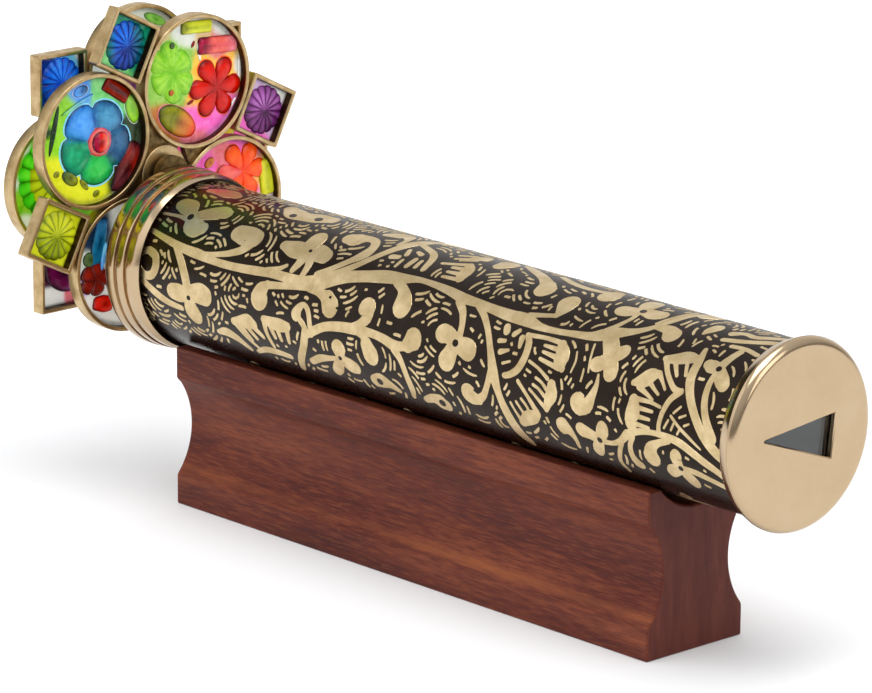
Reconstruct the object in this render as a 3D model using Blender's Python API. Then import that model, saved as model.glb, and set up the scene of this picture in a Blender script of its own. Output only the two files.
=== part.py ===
"""A kaleidoscope with two free-turning jewel wheels, lying in the groove of its wooden stand.

Metres, +Z up. The origin is the centre of the stand's underside. The tube runs along X, its eyepiece
towards +X, and the wheels turn about an axle parallel to the tube, above its far end.
"""

import math

import bmesh
import bpy
from mathutils import Euler, Vector

# Fits that several pieces share
running_gap = 0.0003
solder_gap = 0.00025
resting_gap = 0.0002
cut_overrun = 0.002
round_segments = 40
small_segments = 20

# Outer tube: it overhangs the stand at both ends
tube_length = 0.1931
tube_outer_radius = 0.0190
tube_wall = 0.0012
front_overhang = 0.02815
back_overhang = 0.01225
tube_inner_radius = tube_outer_radius - tube_wall
inside_radius = tube_inner_radius - running_gap

# Wooden stand: a plinth, a cove on each long side and a grooved flange on top
stand_length = tube_length - front_overhang - back_overhang
stand_width = 0.0284
stand_height = 0.0372
plinth_height = 0.0070
plinth_step_height = 0.0016
flange_height = 0.0073
flange_step_height = 0.0012
step_depth = 0.0012
cove_depth = 0.0031
cove_points = 12
groove_radius = 0.0135
groove_half_width = 0.0108
groove_points = 14

# The tube bears on the groove's two edges
tube_front_x = stand_length / 2 + front_overhang
tube_back_x = -stand_length / 2 - back_overhang
tube_axis_z = stand_height + math.sqrt(
    (tube_outer_radius + resting_gap) ** 2 - groove_half_width**2
)

# Eyepiece cap, pressed over the tube's end
cap_wall = 0.0014
cap_outer_radius = tube_outer_radius + running_gap + cap_wall
cap_face_thickness = 0.0012
cap_skirt_length = 0.0037
cap_edge_radius = 0.0020
cap_back_edge = 0.0003
cap_edge_points = 5

# Collar, pressed over the tube's other end: three turned bands, a thin lip and a flange with the viewing hole
collar_wall = 0.0018
middle_band_step = 0.0002
near_band_step = 0.0005
lip_step = 0.0012
collar_far_radius = tube_outer_radius + running_gap + collar_wall
collar_middle_radius = collar_far_radius - middle_band_step
collar_near_radius = collar_far_radius - near_band_step
collar_lip_radius = collar_far_radius - lip_step
collar_length = 0.0108
collar_flange_thickness = 0.0044
viewing_hole_lip = 0.0020
collar_hole_radius = tube_inner_radius - viewing_hole_lip
band_crown = 0.00022
band_points = 5
band_groove_width = 0.0005
band_groove_depth = 0.0006
lip_length = 0.0012

# Glasses
eyepiece_glass_thickness = 0.0010
objective_glass_thickness = 0.0015

# Mirrors: two long strips that meet at the apex, and a dull black strip across their open side
sight_apex_angle = math.radians(25.7)
sight_turn = math.radians(-7.1)
apex_foam_wall = 0.0059
base_foam_wall = 0.0082
sight_apex_reach = inside_radius - apex_foam_wall
sight_length = sight_apex_reach + inside_radius - base_foam_wall
sight_apex_rise = 0.00105
mirror_thickness = 0.0015
black_strip_thickness = 0.0010
mirror_setback = 0.0004
holder_length = 0.0080

# Axle for the wheels, set in the collar's flange
axle_inset = 0.0001
axle_offset = tube_outer_radius - axle_inset
axle_radius = 0.0015
axle_root_radius = 0.0012
axle_root_depth = 0.0027
boss_base_radius = 0.0045
boss_top_radius = 0.0027
boss_length = 0.0031
boss_shoulder_share = 0.45
spacer_radius = 0.0030
spacer_length = 0.0036
washer_radius = 0.0038
washer_thickness = 0.0008
nut_radius = 0.0029
nut_length = 0.0034
nut_end_wall = 0.0010
nut_dome_radius_share = 0.55

# Jewel wheels: four round bezels round a hub, with square bezels in the notches between them
wheel_depth = 0.0035
bezel_outer_radius = 0.0158
bezel_wall = 0.0010
square_side = 0.0142
near_wheel_phase = math.radians(62.9)
far_wheel_phase = math.radians(0.0)
jewel_thickness = 0.0019
jewel_back_recess = 0.0002
bead_height = 0.0011
bead_sink = 0.0003
bead_top_share = 0.86
daisy_height = 0.0009
daisy_sink = 0.0003
daisy_radius_share = 0.86

# Places that follow from the sizes above
cap_face_x = tube_front_x + running_gap + cap_face_thickness
collar_front_x = tube_back_x - running_gap - collar_flange_thickness
collar_rim_x = collar_front_x + collar_length
axle_z = tube_axis_z + axle_offset
wheel_radius = (bezel_outer_radius + solder_gap / 2) * math.sqrt(2)
hub_radius = wheel_radius - bezel_outer_radius - solder_gap
bore_radius = axle_radius + running_gap
boss_back_x = collar_front_x - running_gap - boss_length
near_wheel_x = boss_back_x - running_gap
spacer_x = near_wheel_x - wheel_depth - running_gap
far_wheel_x = spacer_x - spacer_length - running_gap
washer_x = far_wheel_x - wheel_depth - running_gap
nut_x = washer_x - washer_thickness - running_gap
jewel_radius = bezel_outer_radius - bezel_wall - solder_gap
square_jewel_side = square_side - 2 * bezel_wall - 2 * solder_gap
jewel_face_offset = -wheel_depth + jewel_back_recess + jewel_thickness

# Glass beads on each round jewel: kind, place across and up from its middle, half length, half width
# and turn, all as shares of the jewel's radius except the turn, which is in degrees.
FLOWER5, FLOWER6, FLOWER8, BAR, OVAL = "flower5", "flower6", "flower8", "bar", "oval"
near_bead_shares = (
    (
        (FLOWER6, -0.43, 0.18, 0.44, 0.44, 30.0),
        (FLOWER6, 0.42, -0.13, 0.44, 0.44, 0.0),
        (BAR, 0.45, 0.53, 0.40, 0.11, -4.0),
        (BAR, 0.00, 0.84, 0.28, 0.09, -3.0),
        (OVAL, -0.36, -0.66, 0.34, 0.17, -35.0),
        (BAR, 0.38, -0.72, 0.26, 0.10, 12.0),
    ),
    (
        (FLOWER5, 0.05, -0.02, 0.62, 0.62, -22.0),
        (BAR, 0.44, 0.73, 0.25, 0.095, -33.0),
        (OVAL, 0.79, 0.36, 0.19, 0.085, -70.0),
        (BAR, 0.60, -0.57, 0.33, 0.12, 48.0),
        (FLOWER5, -0.42, -0.68, 0.12, 0.12, 0.0),
        (FLOWER5, -0.08, -0.83, 0.12, 0.12, 30.0),
        (BAR, -0.78, 0.02, 0.30, 0.06, 76.0),
        (OVAL, -0.22, 0.80, 0.14, 0.07, 10.0),
    ),
    (
        (FLOWER5, 0.20, -0.02, 0.42, 0.42, 0.0),
        (BAR, -0.56, 0.40, 0.34, 0.09, 72.0),
        (OVAL, -0.83, 0.18, 0.075, 0.075, 0.0),
        (FLOWER6, -0.70, -0.17, 0.20, 0.20, 0.0),
        (FLOWER5, -0.53, -0.55, 0.18, 0.18, 20.0),
        (BAR, 0.25, -0.75, 0.24, 0.10, 5.0),
        (OVAL, 0.20, 0.72, 0.24, 0.11, 0.0),
    ),
    (
        (FLOWER8, 0.27, 0.48, 0.42, 0.42, 22.0),
        (BAR, 0.79, 0.20, 0.22, 0.085, 92.0),
        (FLOWER5, -0.36, -0.36, 0.34, 0.34, 10.0),
        (BAR, 0.40, -0.52, 0.26, 0.11, -30.0),
        (OVAL, -0.66, 0.32, 0.20, 0.11, 70.0),
    ),
)
far_bead_shares = (
    (
        (FLOWER6, 0.10, -0.05, 0.50, 0.50, 0.0),
        (BAR, -0.20, 0.74, 0.28, 0.10, 12.0),
        (OVAL, 0.66, -0.60, 0.18, 0.10, 45.0),
        (BAR, -0.68, -0.40, 0.24, 0.10, -60.0),
    ),
    (
        (FLOWER5, -0.12, -0.10, 0.48, 0.48, 0.0),
        (OVAL, 0.33, 0.80, 0.20, 0.07, -25.0),
        (BAR, -0.64, 0.56, 0.20, 0.09, 40.0),
        (BAR, 0.68, -0.30, 0.24, 0.10, 75.0),
    ),
    (
        (FLOWER8, -0.42, 0.04, 0.52, 0.52, 0.0),
        (BAR, 0.42, 0.62, 0.26, 0.11, -35.0),
        (FLOWER5, 0.52, -0.20, 0.30, 0.30, 0.0),
        (OVAL, 0.12, -0.76, 0.22, 0.11, 10.0),
    ),
    (
        (FLOWER5, 0.00, -0.36, 0.40, 0.40, 0.0),
        (OVAL, -0.56, 0.42, 0.26, 0.13, 50.0),
        (BAR, 0.38, 0.52, 0.30, 0.12, -20.0),
        (BAR, 0.72, -0.30, 0.18, 0.09, 80.0),
    ),
)
petal_counts = {FLOWER5: 5, FLOWER6: 6, FLOWER8: 8}
petal_waist_share = 0.42
petal_points = 6
daisy_petals = 9
daisy_waist_share = 0.62
bar_corner_share = 0.45
oval_points = 16

# Finishes: base colour, roughness, metallic
finishes = {
    "polished_brass": ((0.79, 0.60, 0.33), 0.22, 1.0),
    "lacquered_tube_brass": ((0.12, 0.08, 0.07), 0.35, 0.6),
    "rosewood": ((0.22, 0.06, 0.035), 0.45, 0.0),
    "clear_glass": ((0.92, 0.95, 0.95), 0.05, 0.0),
    "silvered_mirror": ((0.80, 0.81, 0.80), 0.04, 1.0),
    "black_card": ((0.02, 0.02, 0.02), 0.80, 0.0),
    "grey_foam": ((0.25, 0.25, 0.26), 0.90, 0.0),
    "clear_resin_green": ((0.45, 0.85, 0.12), 0.08, 0.0),
    "clear_resin_pink": ((0.93, 0.30, 0.62), 0.08, 0.0),
    "clear_resin_blue": ((0.05, 0.32, 0.85), 0.08, 0.0),
    "clear_resin_yellow": ((0.93, 0.90, 0.10), 0.08, 0.0),
    "bead_glass_red": ((0.85, 0.05, 0.05), 0.12, 0.0),
    "bead_glass_teal": ((0.05, 0.60, 0.55), 0.12, 0.0),
}


def clear_scene():
    """Removes every object that the file opens with."""
    for obj in list(bpy.data.objects):
        bpy.data.objects.remove(obj, do_unlink=True)


def finish(name):
    """The Principled material of a finish, made on first use."""
    found = bpy.data.materials.get(name)
    if found:
        return found
    colour, roughness, metallic = finishes[name]
    material = bpy.data.materials.new(name)
    material.use_nodes = True
    shader = material.node_tree.nodes["Principled BSDF"]
    shader.inputs["Base Color"].default_value = (*colour, 1.0)
    shader.inputs["Roughness"].default_value = roughness
    shader.inputs["Metallic"].default_value = metallic
    material.diffuse_color = (*colour, 1.0)
    return material


def pivot(name, location, parent=None):
    """An empty that carries the pieces of one moving group."""
    empty = bpy.data.objects.new(name, None)
    empty.empty_display_size = tube_outer_radius
    empty.location = location
    empty.parent = parent
    bpy.context.scene.collection.objects.link(empty)
    return empty


def place(name, mesh, material, parent=None, location=(0, 0, 0), turn=0.0):
    """Links a mesh as a named object, turned about X."""
    obj = bpy.data.objects.new(name, mesh)
    obj.location = location
    obj.rotation_euler = Euler((turn, 0, 0))
    obj.parent = parent
    mesh.materials.append(finish(material))
    mesh.shade_smooth()
    mesh.set_sharp_from_angle(angle=math.radians(35))
    bpy.context.scene.collection.objects.link(obj)
    return obj


def finished_mesh(name, bm):
    """Turns the faces outwards and stores the mesh."""
    bmesh.ops.recalc_face_normals(bm, faces=bm.faces)
    mesh = bpy.data.meshes.new(name)
    bm.to_mesh(mesh)
    bm.free()
    return mesh


def turned(name, outline, segments=round_segments):
    """A body turned about X from a closed outline of (x, radius) points."""
    bm = bmesh.new()
    rings = []
    for x, radius in outline:
        if radius == 0:
            rings.append([bm.verts.new((x, 0, 0))])
            continue
        ring = []
        for step in range(segments):
            angle = 2 * math.pi * step / segments
            ring.append(bm.verts.new((x, radius * math.cos(angle), radius * math.sin(angle))))
        rings.append(ring)
    for first, second in zip(rings, rings[1:] + rings[:1]):
        if len(first) == 1 and len(second) == 1:
            continue
        for step in range(segments):
            corners = []
            for vert in (
                first[step % len(first)],
                first[(step + 1) % len(first)],
                second[(step + 1) % len(second)],
                second[step % len(second)],
            ):
                if vert not in corners:
                    corners.append(vert)
            bm.faces.new(corners)
    return finished_mesh(name, bm)


def add_prism(bm, outline, back_x, front_x, front_share=1.0, middle=(0.0, 0.0)):
    """Adds a closed prism along X on a (y, z) outline; the front may be drawn in about its middle."""
    mid_y, mid_z = middle
    back = [bm.verts.new((back_x, mid_y + y, mid_z + z)) for y, z in outline]
    front = [
        bm.verts.new((front_x, mid_y + y * front_share, mid_z + z * front_share))
        for y, z in outline
    ]
    bm.faces.new(back)
    bm.faces.new(front)
    for index in range(len(outline)):
        after = (index + 1) % len(outline)
        bm.faces.new((back[index], back[after], front[after], front[index]))


def prism(name, outline, back_x, front_x, front_share=1.0):
    """A single prism along X."""
    bm = bmesh.new()
    add_prism(bm, outline, back_x, front_x, front_share)
    return finished_mesh(name, bm)


def cutter(name, mesh, parent=None, location=(0, 0, 0), turn=0.0):
    """A helper body for a Boolean, left out of the model."""
    obj = bpy.data.objects.new(name, mesh)
    obj.location = location
    obj.rotation_euler = Euler((turn, 0, 0))
    obj.parent = parent
    obj.hide_render = True
    obj.display_type = "WIRE"
    bpy.context.scene.collection.objects.link(obj)
    return obj


def combine(obj, helper, operation="DIFFERENCE"):
    """Cuts a helper out of an object, or joins it on."""
    step = obj.modifiers.new(f"{operation.lower()}_{helper.name}", "BOOLEAN")
    step.operation = operation
    step.solver = "EXACT"
    step.object = helper


def arc(centre, radius, start, end, points):
    """Points along an arc, both ends included."""
    steps = [start + (end - start) * index / (points - 1) for index in range(points)]
    return [
        (centre[0] + radius * math.cos(angle), centre[1] + radius * math.sin(angle))
        for angle in steps
    ]


def ring_outline(outer, inner, back_x, front_x):
    """The closed outline of a plain ring or tube."""
    return [(front_x, inner), (front_x, outer), (back_x, outer), (back_x, inner)]


def disc_outline(radius, back_x, front_x):
    """The closed outline of a plain disc."""
    return [(front_x, 0), (front_x, radius), (back_x, radius), (back_x, 0)]


def stand_outline():
    """The stand's end profile, anticlockwise from its lower right corner, as (y, z)."""
    half = stand_width / 2
    cove_edge = half - step_depth
    cove_low = plinth_height + plinth_step_height
    cove_high = stand_height - flange_height - flange_step_height
    chord = (cove_high - cove_low) / 2
    cove_radius = (chord**2 + cove_depth**2) / (2 * cove_depth)
    sweep = math.asin(chord / cove_radius)
    cove_middle = (cove_edge - cove_depth + cove_radius, (cove_low + cove_high) / 2)
    cove = arc(cove_middle, cove_radius, math.pi + sweep, math.pi - sweep, cove_points)
    right = [(half, 0.0), (half, plinth_height)] + cove
    right += [(half, stand_height - flange_height), (half, stand_height)]
    rise = math.sqrt(groove_radius**2 - groove_half_width**2)
    dip = math.asin(groove_half_width / groove_radius)
    groove_middle = (0.0, stand_height + rise)
    groove = arc(
        groove_middle, groove_radius, dip - math.pi / 2, -dip - math.pi / 2, groove_points
    )
    left = [(-y, z) for y, z in reversed(right)]
    return right + groove + left


def build_stand():
    """The wooden stand."""
    mesh = prism("wooden_stand", stand_outline(), -stand_length / 2, stand_length / 2)
    place("wooden_stand", mesh, "rosewood")


def build_tube(scope):
    """The brass outer tube."""
    outline = ring_outline(tube_outer_radius, tube_inner_radius, tube_back_x, tube_front_x)
    place("outer_tube", turned("outer_tube", outline), "lacquered_tube_brass", scope)


def sight_point(along, across):
    """A (y, z) point of the mirror channel, from its apex along its middle line and across it."""
    turn_cos = math.cos(sight_turn)
    turn_sin = math.sin(sight_turn)
    return (
        -sight_apex_reach + along * turn_cos - across * turn_sin,
        sight_apex_rise + along * turn_sin + across * turn_cos,
    )


def sight_half_width(along):
    """Half the clear width between the two sight lines, at a distance from the apex."""
    return along * math.tan(sight_apex_angle / 2)


def aperture_outline():
    """The triangular eyehole."""
    base = sight_half_width(sight_length)
    return [sight_point(0.0, 0.0), sight_point(sight_length, -base), sight_point(sight_length, base)]


def build_cap(scope):
    """The eyepiece cap with its triangular eyehole."""
    inner_x = cap_face_x - cap_face_thickness
    back_x = inner_x - cap_skirt_length
    edge_middle = (cap_face_x - cap_edge_radius, cap_outer_radius - cap_edge_radius)
    socket = tube_outer_radius + running_gap
    outline = [(cap_face_x, 0)]
    outline += [
        (edge_middle[0] + x, edge_middle[1] + r)
        for x, r in arc((0, 0), cap_edge_radius, 0, math.pi / 2, cap_edge_points)
    ]
    outline += [(back_x + cap_back_edge, cap_outer_radius), (back_x, cap_outer_radius - cap_back_edge)]
    outline += [(back_x, socket), (inner_x, socket), (inner_x, 0)]
    cap = place("eyepiece_cap", turned("eyepiece_cap", outline), "polished_brass", scope)
    hole = prism(
        "aperture_cutter", aperture_outline(), inner_x - cut_overrun, cap_face_x + cut_overrun
    )
    combine(cap, cutter("aperture_cutter", hole, scope))


def build_glasses(scope):
    """The clear discs that close the tube at each end."""
    front = disc_outline(inside_radius, tube_front_x - eyepiece_glass_thickness, tube_front_x)
    place("eyepiece_glass", turned("eyepiece_glass", front), "clear_glass", scope)
    back = disc_outline(inside_radius, tube_back_x, tube_back_x + objective_glass_thickness)
    place("objective_glass", turned("objective_glass", back), "clear_glass", scope)


def mirror_face(along, side, depth):
    """A point of a mirror strip's end, set back from the sight line by a depth."""
    half_angle = sight_apex_angle / 2
    setback = mirror_setback + depth
    shift_along = -setback * math.sin(half_angle)
    shift_across = setback * math.cos(half_angle)
    return sight_point(along + shift_along, side * (sight_half_width(along) + shift_across))


def build_mirrors(scope):
    """The mirror strips, the black strip and the two foam holders round them."""
    back_x = tube_back_x + objective_glass_thickness + running_gap
    front_x = tube_front_x - eyepiece_glass_thickness - running_gap
    for side, name in ((1, "upper_mirror"), (-1, "lower_mirror")):
        outline = [
            mirror_face(0.0, side, 0.0),
            mirror_face(sight_length, side, 0.0),
            mirror_face(sight_length, side, mirror_thickness),
            mirror_face(0.0, side, mirror_thickness),
        ]
        place(name, prism(name, outline, back_x, front_x), "silvered_mirror", scope)
    strip_near = sight_length + running_gap
    strip_far = strip_near + black_strip_thickness
    strip_half = sight_half_width(sight_length) + mirror_setback + mirror_thickness
    strip = [
        sight_point(strip_near, -strip_half),
        sight_point(strip_far, -strip_half),
        sight_point(strip_far, strip_half),
        sight_point(strip_near, strip_half),
    ]
    place("black_strip", prism("black_strip", strip, back_x, front_x), "black_card", scope)
    slope = math.tan(sight_apex_angle / 2)
    wall = (mirror_setback + mirror_thickness + running_gap) / math.cos(sight_apex_angle / 2)
    hole_back = -mirror_thickness
    hole_front = strip_far + running_gap
    hole_outline = [
        sight_point(hole_back, -(hole_back * slope + wall)),
        sight_point(hole_front, -(hole_front * slope + wall)),
        sight_point(hole_front, hole_front * slope + wall),
        sight_point(hole_back, hole_back * slope + wall),
    ]
    for name, near_x, far_x in (
        ("eyepiece_mirror_holder", front_x - holder_length, front_x),
        ("objective_mirror_holder", back_x, back_x + holder_length),
    ):
        disc = turned(name, disc_outline(inside_radius, near_x, far_x))
        holder = place(name, disc, "grey_foam", scope)
        hole = prism(f"{name}_cutter", hole_outline, near_x - cut_overrun, far_x + cut_overrun)
        combine(holder, cutter(f"{name}_cutter", hole, scope))


def collar_outline():
    """The collar's section: bands outside, then the flange, its viewing hole and the tube's socket."""
    socket = tube_outer_radius + running_gap
    outline = [(collar_rim_x, socket), (collar_rim_x, collar_lip_radius)]
    band_length = (collar_length - lip_length) / 3
    crowns = (collar_near_radius, collar_middle_radius, collar_far_radius)
    start = collar_rim_x - lip_length
    for index, crown in enumerate(crowns):
        first = start - index * band_length - band_groove_width / 2
        last = start - (index + 1) * band_length + band_groove_width / 2
        if index == 0:
            first = start
        if index == len(crowns) - 1:
            last = collar_front_x
        for point in range(band_points):
            share = point / (band_points - 1)
            sag = band_crown * (2 * share - 1) ** 2
            outline.append((first + (last - first) * share, crown - sag))
        if index < len(crowns) - 1:
            outline.append((last - band_groove_width / 2, crown - band_groove_depth))
    shoulder_x = collar_front_x + collar_flange_thickness
    outline += [(collar_front_x, collar_hole_radius), (shoulder_x, collar_hole_radius)]
    outline.append((shoulder_x, socket))
    return outline


def build_collar(scope):
    """The turned collar, drilled for the axle's root."""
    collar = place("objective_collar", turned("objective_collar", collar_outline()), "polished_brass", scope)
    drill = disc_outline(
        axle_root_radius + running_gap,
        collar_front_x - cut_overrun,
        collar_front_x + axle_root_depth + running_gap,
    )
    helper = cutter("axle_hole_cutter", turned("axle_hole_cutter", drill, small_segments), scope)
    helper.location = (0, 0, axle_offset)
    combine(collar, helper)


def build_axle(scope):
    """The axle and the still pieces strung on it, from the collar outwards."""
    line = (0, 0, axle_offset)
    end_x = nut_x - nut_length + nut_end_wall + running_gap
    root_x = collar_front_x + axle_root_depth
    step_x = collar_front_x - running_gap
    axle = [(root_x, 0), (root_x, axle_root_radius), (step_x, axle_root_radius), (step_x, axle_radius)]
    axle += [(end_x, axle_radius), (end_x, 0)]
    place("wheel_axle", turned("wheel_axle", axle, small_segments), "polished_brass", scope, line)
    shoulder_x = boss_back_x + boss_length * boss_shoulder_share
    boss = [(step_x, bore_radius), (step_x, boss_base_radius), (shoulder_x, boss_base_radius)]
    crown_length = shoulder_x - boss_back_x
    crown_height = boss_base_radius - boss_top_radius
    boss += [
        (shoulder_x - crown_length * math.sin(angle), boss_top_radius + crown_height * math.cos(angle))
        for angle in (math.pi / 6, math.pi / 3, math.pi / 2)
    ]
    boss.append((boss_back_x, bore_radius))
    place("axle_boss", turned("axle_boss", boss, small_segments), "polished_brass", scope, line)
    spacer = ring_outline(spacer_radius, bore_radius, spacer_x - spacer_length, spacer_x)
    place("wheel_spacer", turned("wheel_spacer", spacer, small_segments), "polished_brass", scope, line)
    washer = ring_outline(washer_radius, bore_radius, washer_x - washer_thickness, washer_x)
    place("axle_washer", turned("axle_washer", washer, small_segments), "polished_brass", scope, line)
    dome_length = nut_radius * (1 - nut_dome_radius_share)
    far_x = nut_x - nut_length
    nut = [(nut_x, bore_radius), (nut_x, nut_radius), (far_x + dome_length, nut_radius)]
    nut += [(far_x, nut_radius * nut_dome_radius_share), (far_x, 0)]
    nut += [(far_x + nut_end_wall, 0), (far_x + nut_end_wall, bore_radius)]
    place("axle_cap_nut", turned("axle_cap_nut", nut, small_segments), "polished_brass", scope, line)


def petal_outline(petals, radius, waist_share, points, turn):
    """The outline of a flower bead: round petals with a waist between each two."""
    outline = []
    for step in range(petals * points):
        angle = 2 * math.pi * step / (petals * points)
        swell = abs(math.cos(petals * angle / 2)) ** 0.6
        reach = radius * (waist_share + (1 - waist_share) * swell)
        outline.append((reach * math.cos(angle + turn), reach * math.sin(angle + turn)))
    return outline


def turned_points(points, turn):
    """Points turned about the origin."""
    cos, sin = math.cos(turn), math.sin(turn)
    return [(y * cos - z * sin, y * sin + z * cos) for y, z in points]


def bar_outline(half_length, half_width, turn):
    """A bar bead with its corners cut."""
    cut = half_width * bar_corner_share
    corners = []
    for side_y, side_z in ((1, 1), (-1, 1), (-1, -1), (1, -1)):
        pair = [
            (side_y * half_length, side_z * (half_width - cut)),
            (side_y * (half_length - cut), side_z * half_width),
        ]
        corners += pair if side_y * side_z > 0 else reversed(pair)
    return turned_points(corners, turn)


def oval_outline(half_length, half_width, turn):
    """An oval bead."""
    steps = [2 * math.pi * index / oval_points for index in range(oval_points)]
    return turned_points(
        [(half_length * math.cos(angle), half_width * math.sin(angle)) for angle in steps], turn
    )


def bead_outline(kind, half_length, half_width, turn):
    """The outline of one bead."""
    if kind in petal_counts:
        return petal_outline(petal_counts[kind], half_length, petal_waist_share, petal_points, turn)
    if kind == BAR:
        return bar_outline(half_length, half_width, turn)
    return oval_outline(half_length, half_width, turn)


def add_bead(bm, shares, back_x):
    """Adds one bead of a round jewel, from back_x to its rounded top."""
    kind, across, up, length, width, turn = shares
    outline = bead_outline(kind, length * jewel_radius, width * jewel_radius, math.radians(turn))
    middle = (across * jewel_radius, up * jewel_radius)
    add_prism(bm, outline, back_x, jewel_face_offset + bead_height, bead_top_share, middle)


def round_jewel(name, beads_name, shares, materials, wheel, spot):
    """A round jewel: a resin plate with small beads set in it, and the loose-cast main flower on it."""
    plate = disc_outline(jewel_radius, jewel_face_offset - jewel_thickness, jewel_face_offset)
    jewel = place(name, turned(name, plate), materials[0], wheel, spot)
    main_flower = max(shares, key=lambda bead: bead[4])
    bm = bmesh.new()
    for bead in shares:
        if bead is not main_flower:
            add_bead(bm, bead, jewel_face_offset - bead_sink)
    helper = finished_mesh(f"{name}_small_beads", bm)
    combine(jewel, cutter(f"{name}_small_beads", helper, wheel, spot), "UNION")
    bm = bmesh.new()
    add_bead(bm, main_flower, jewel_face_offset)
    place(beads_name, finished_mesh(beads_name, bm), materials[1], wheel, spot)


def square_ring(name, outer, inner, back_x, front_x):
    """A square frame, its corners towards Y and Z."""
    bm = bmesh.new()
    rings = []
    for x, side in ((front_x, outer), (back_x, outer), (back_x, inner), (front_x, inner)):
        reach = side / math.sqrt(2)
        corners = ((reach, 0), (0, reach), (-reach, 0), (0, -reach))
        rings.append([bm.verts.new((x, y, z)) for y, z in corners])
    for first, second in zip(rings, rings[1:] + rings[:1]):
        for step in range(4):
            after = (step + 1) % 4
            bm.faces.new((first[step], first[after], second[after], second[step]))
    return finished_mesh(name, bm)


def square_jewel(name, material, wheel, location, turn):
    """A square jewel: a plate with a moulded daisy."""
    reach = square_jewel_side / math.sqrt(2)
    plate = [(reach, 0), (0, reach), (-reach, 0), (0, -reach)]
    back_x = jewel_face_offset - jewel_thickness
    jewel = place(name, prism(name, plate, back_x, jewel_face_offset), material, wheel, location, turn)
    radius = square_jewel_side / 2 * daisy_radius_share
    petals = petal_outline(daisy_petals, radius, daisy_waist_share, petal_points, 0.0)
    daisy = prism(
        f"{name}_daisy",
        petals,
        jewel_face_offset - daisy_sink,
        jewel_face_offset + daisy_height,
        bead_top_share,
    )
    combine(jewel, cutter(f"{name}_daisy", daisy, wheel, location, turn), "UNION")


def build_wheel(name, scope, front_x, phase, bead_shares, jewel_finishes):
    """One jewel wheel about its own pivot on the axle."""
    wheel = pivot(f"{name}_wheel_pivot", (front_x, 0, axle_offset), scope)
    hub = ring_outline(hub_radius, bore_radius, -wheel_depth, 0.0)
    place(f"{name}_hub", turned(f"{name}_hub", hub, small_segments), "polished_brass", wheel)
    bezel = ring_outline(bezel_outer_radius, bezel_outer_radius - bezel_wall, -wheel_depth, 0.0)
    square_middle = (bezel_outer_radius + solder_gap + square_side / 2) * math.sqrt(2)
    for index, shares in enumerate(bead_shares):
        number = index + 1
        angle = phase + index * math.pi / 2
        spot = Vector((0, wheel_radius * math.cos(angle), wheel_radius * math.sin(angle)))
        ring_name = f"{name}_round_bezel_{number}"
        place(ring_name, turned(ring_name, bezel), "polished_brass", wheel, spot, angle)
        bead_finish = "bead_glass_red" if index % 2 == 0 else "bead_glass_teal"
        names = (f"{name}_round_jewel_{number}", f"{name}_flower_bead_{number}")
        round_jewel(*names, shares, (jewel_finishes[index], bead_finish), wheel, spot)
        corner = angle + math.pi / 4
        spot = Vector((0, square_middle * math.cos(corner), square_middle * math.sin(corner)))
        frame_name = f"{name}_square_bezel_{number}"
        frame = square_ring(
            frame_name, square_side, square_side - 2 * bezel_wall, -wheel_depth, 0.0
        )
        place(frame_name, frame, "polished_brass", wheel, spot, corner)
        square_jewel(
            f"{name}_square_jewel_{number}", jewel_finishes[index - 1], wheel, spot, corner
        )


def main():
    """Builds the stand, then the kaleidoscope that lies on it."""
    clear_scene()
    build_stand()
    scope = pivot("scope_axis", (0, 0, tube_axis_z))
    build_tube(scope)
    build_cap(scope)
    build_glasses(scope)
    build_mirrors(scope)
    build_collar(scope)
    build_axle(scope)
    near_finishes = (
        "clear_resin_green",
        "clear_resin_yellow",
        "clear_resin_blue",
        "clear_resin_pink",
    )
    far_finishes = (
        "clear_resin_pink",
        "clear_resin_green",
        "clear_resin_yellow",
        "clear_resin_blue",
    )
    build_wheel("near", scope, near_wheel_x, near_wheel_phase, near_bead_shares, near_finishes)
    build_wheel("far", scope, far_wheel_x, far_wheel_phase, far_bead_shares, far_finishes)
    bpy.context.view_layer.update()


main()
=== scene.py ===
"""Looks of the kaleidoscope with two jewel wheels on its wooden stand.

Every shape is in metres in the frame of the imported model. The tube runs along X with its eyepiece
towards +X, and the wheels turn about an axle above its far end.
"""

import logging
import math
import random
from collections.abc import Callable
from dataclasses import dataclass
from enum import Enum

import bmesh
import bpy
import numpy as np
from mathutils import Matrix, Vector
from mathutils.kdtree import KDTree

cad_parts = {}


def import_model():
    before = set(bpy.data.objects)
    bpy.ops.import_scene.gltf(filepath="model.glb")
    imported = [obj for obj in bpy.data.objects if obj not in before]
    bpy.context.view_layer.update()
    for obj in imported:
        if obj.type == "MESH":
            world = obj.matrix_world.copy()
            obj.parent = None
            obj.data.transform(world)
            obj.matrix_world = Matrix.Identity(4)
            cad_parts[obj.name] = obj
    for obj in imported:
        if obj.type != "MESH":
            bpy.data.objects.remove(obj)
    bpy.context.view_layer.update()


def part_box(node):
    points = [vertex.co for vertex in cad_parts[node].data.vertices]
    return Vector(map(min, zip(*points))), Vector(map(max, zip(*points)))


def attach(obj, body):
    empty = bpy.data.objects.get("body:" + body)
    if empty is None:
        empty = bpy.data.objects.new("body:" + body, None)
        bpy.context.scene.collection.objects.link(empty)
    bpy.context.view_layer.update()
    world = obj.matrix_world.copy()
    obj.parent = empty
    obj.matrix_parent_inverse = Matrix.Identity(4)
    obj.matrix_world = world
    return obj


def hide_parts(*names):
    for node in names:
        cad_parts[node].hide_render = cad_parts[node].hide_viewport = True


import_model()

log = logging.getLogger("kaleidoscope")
logging.basicConfig(level=logging.INFO, format="%(message)s")

Flat = tuple[float, float]
Place = tuple[float, float, float]
Rgb = tuple[int, int, int]
MM = 0.001

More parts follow.
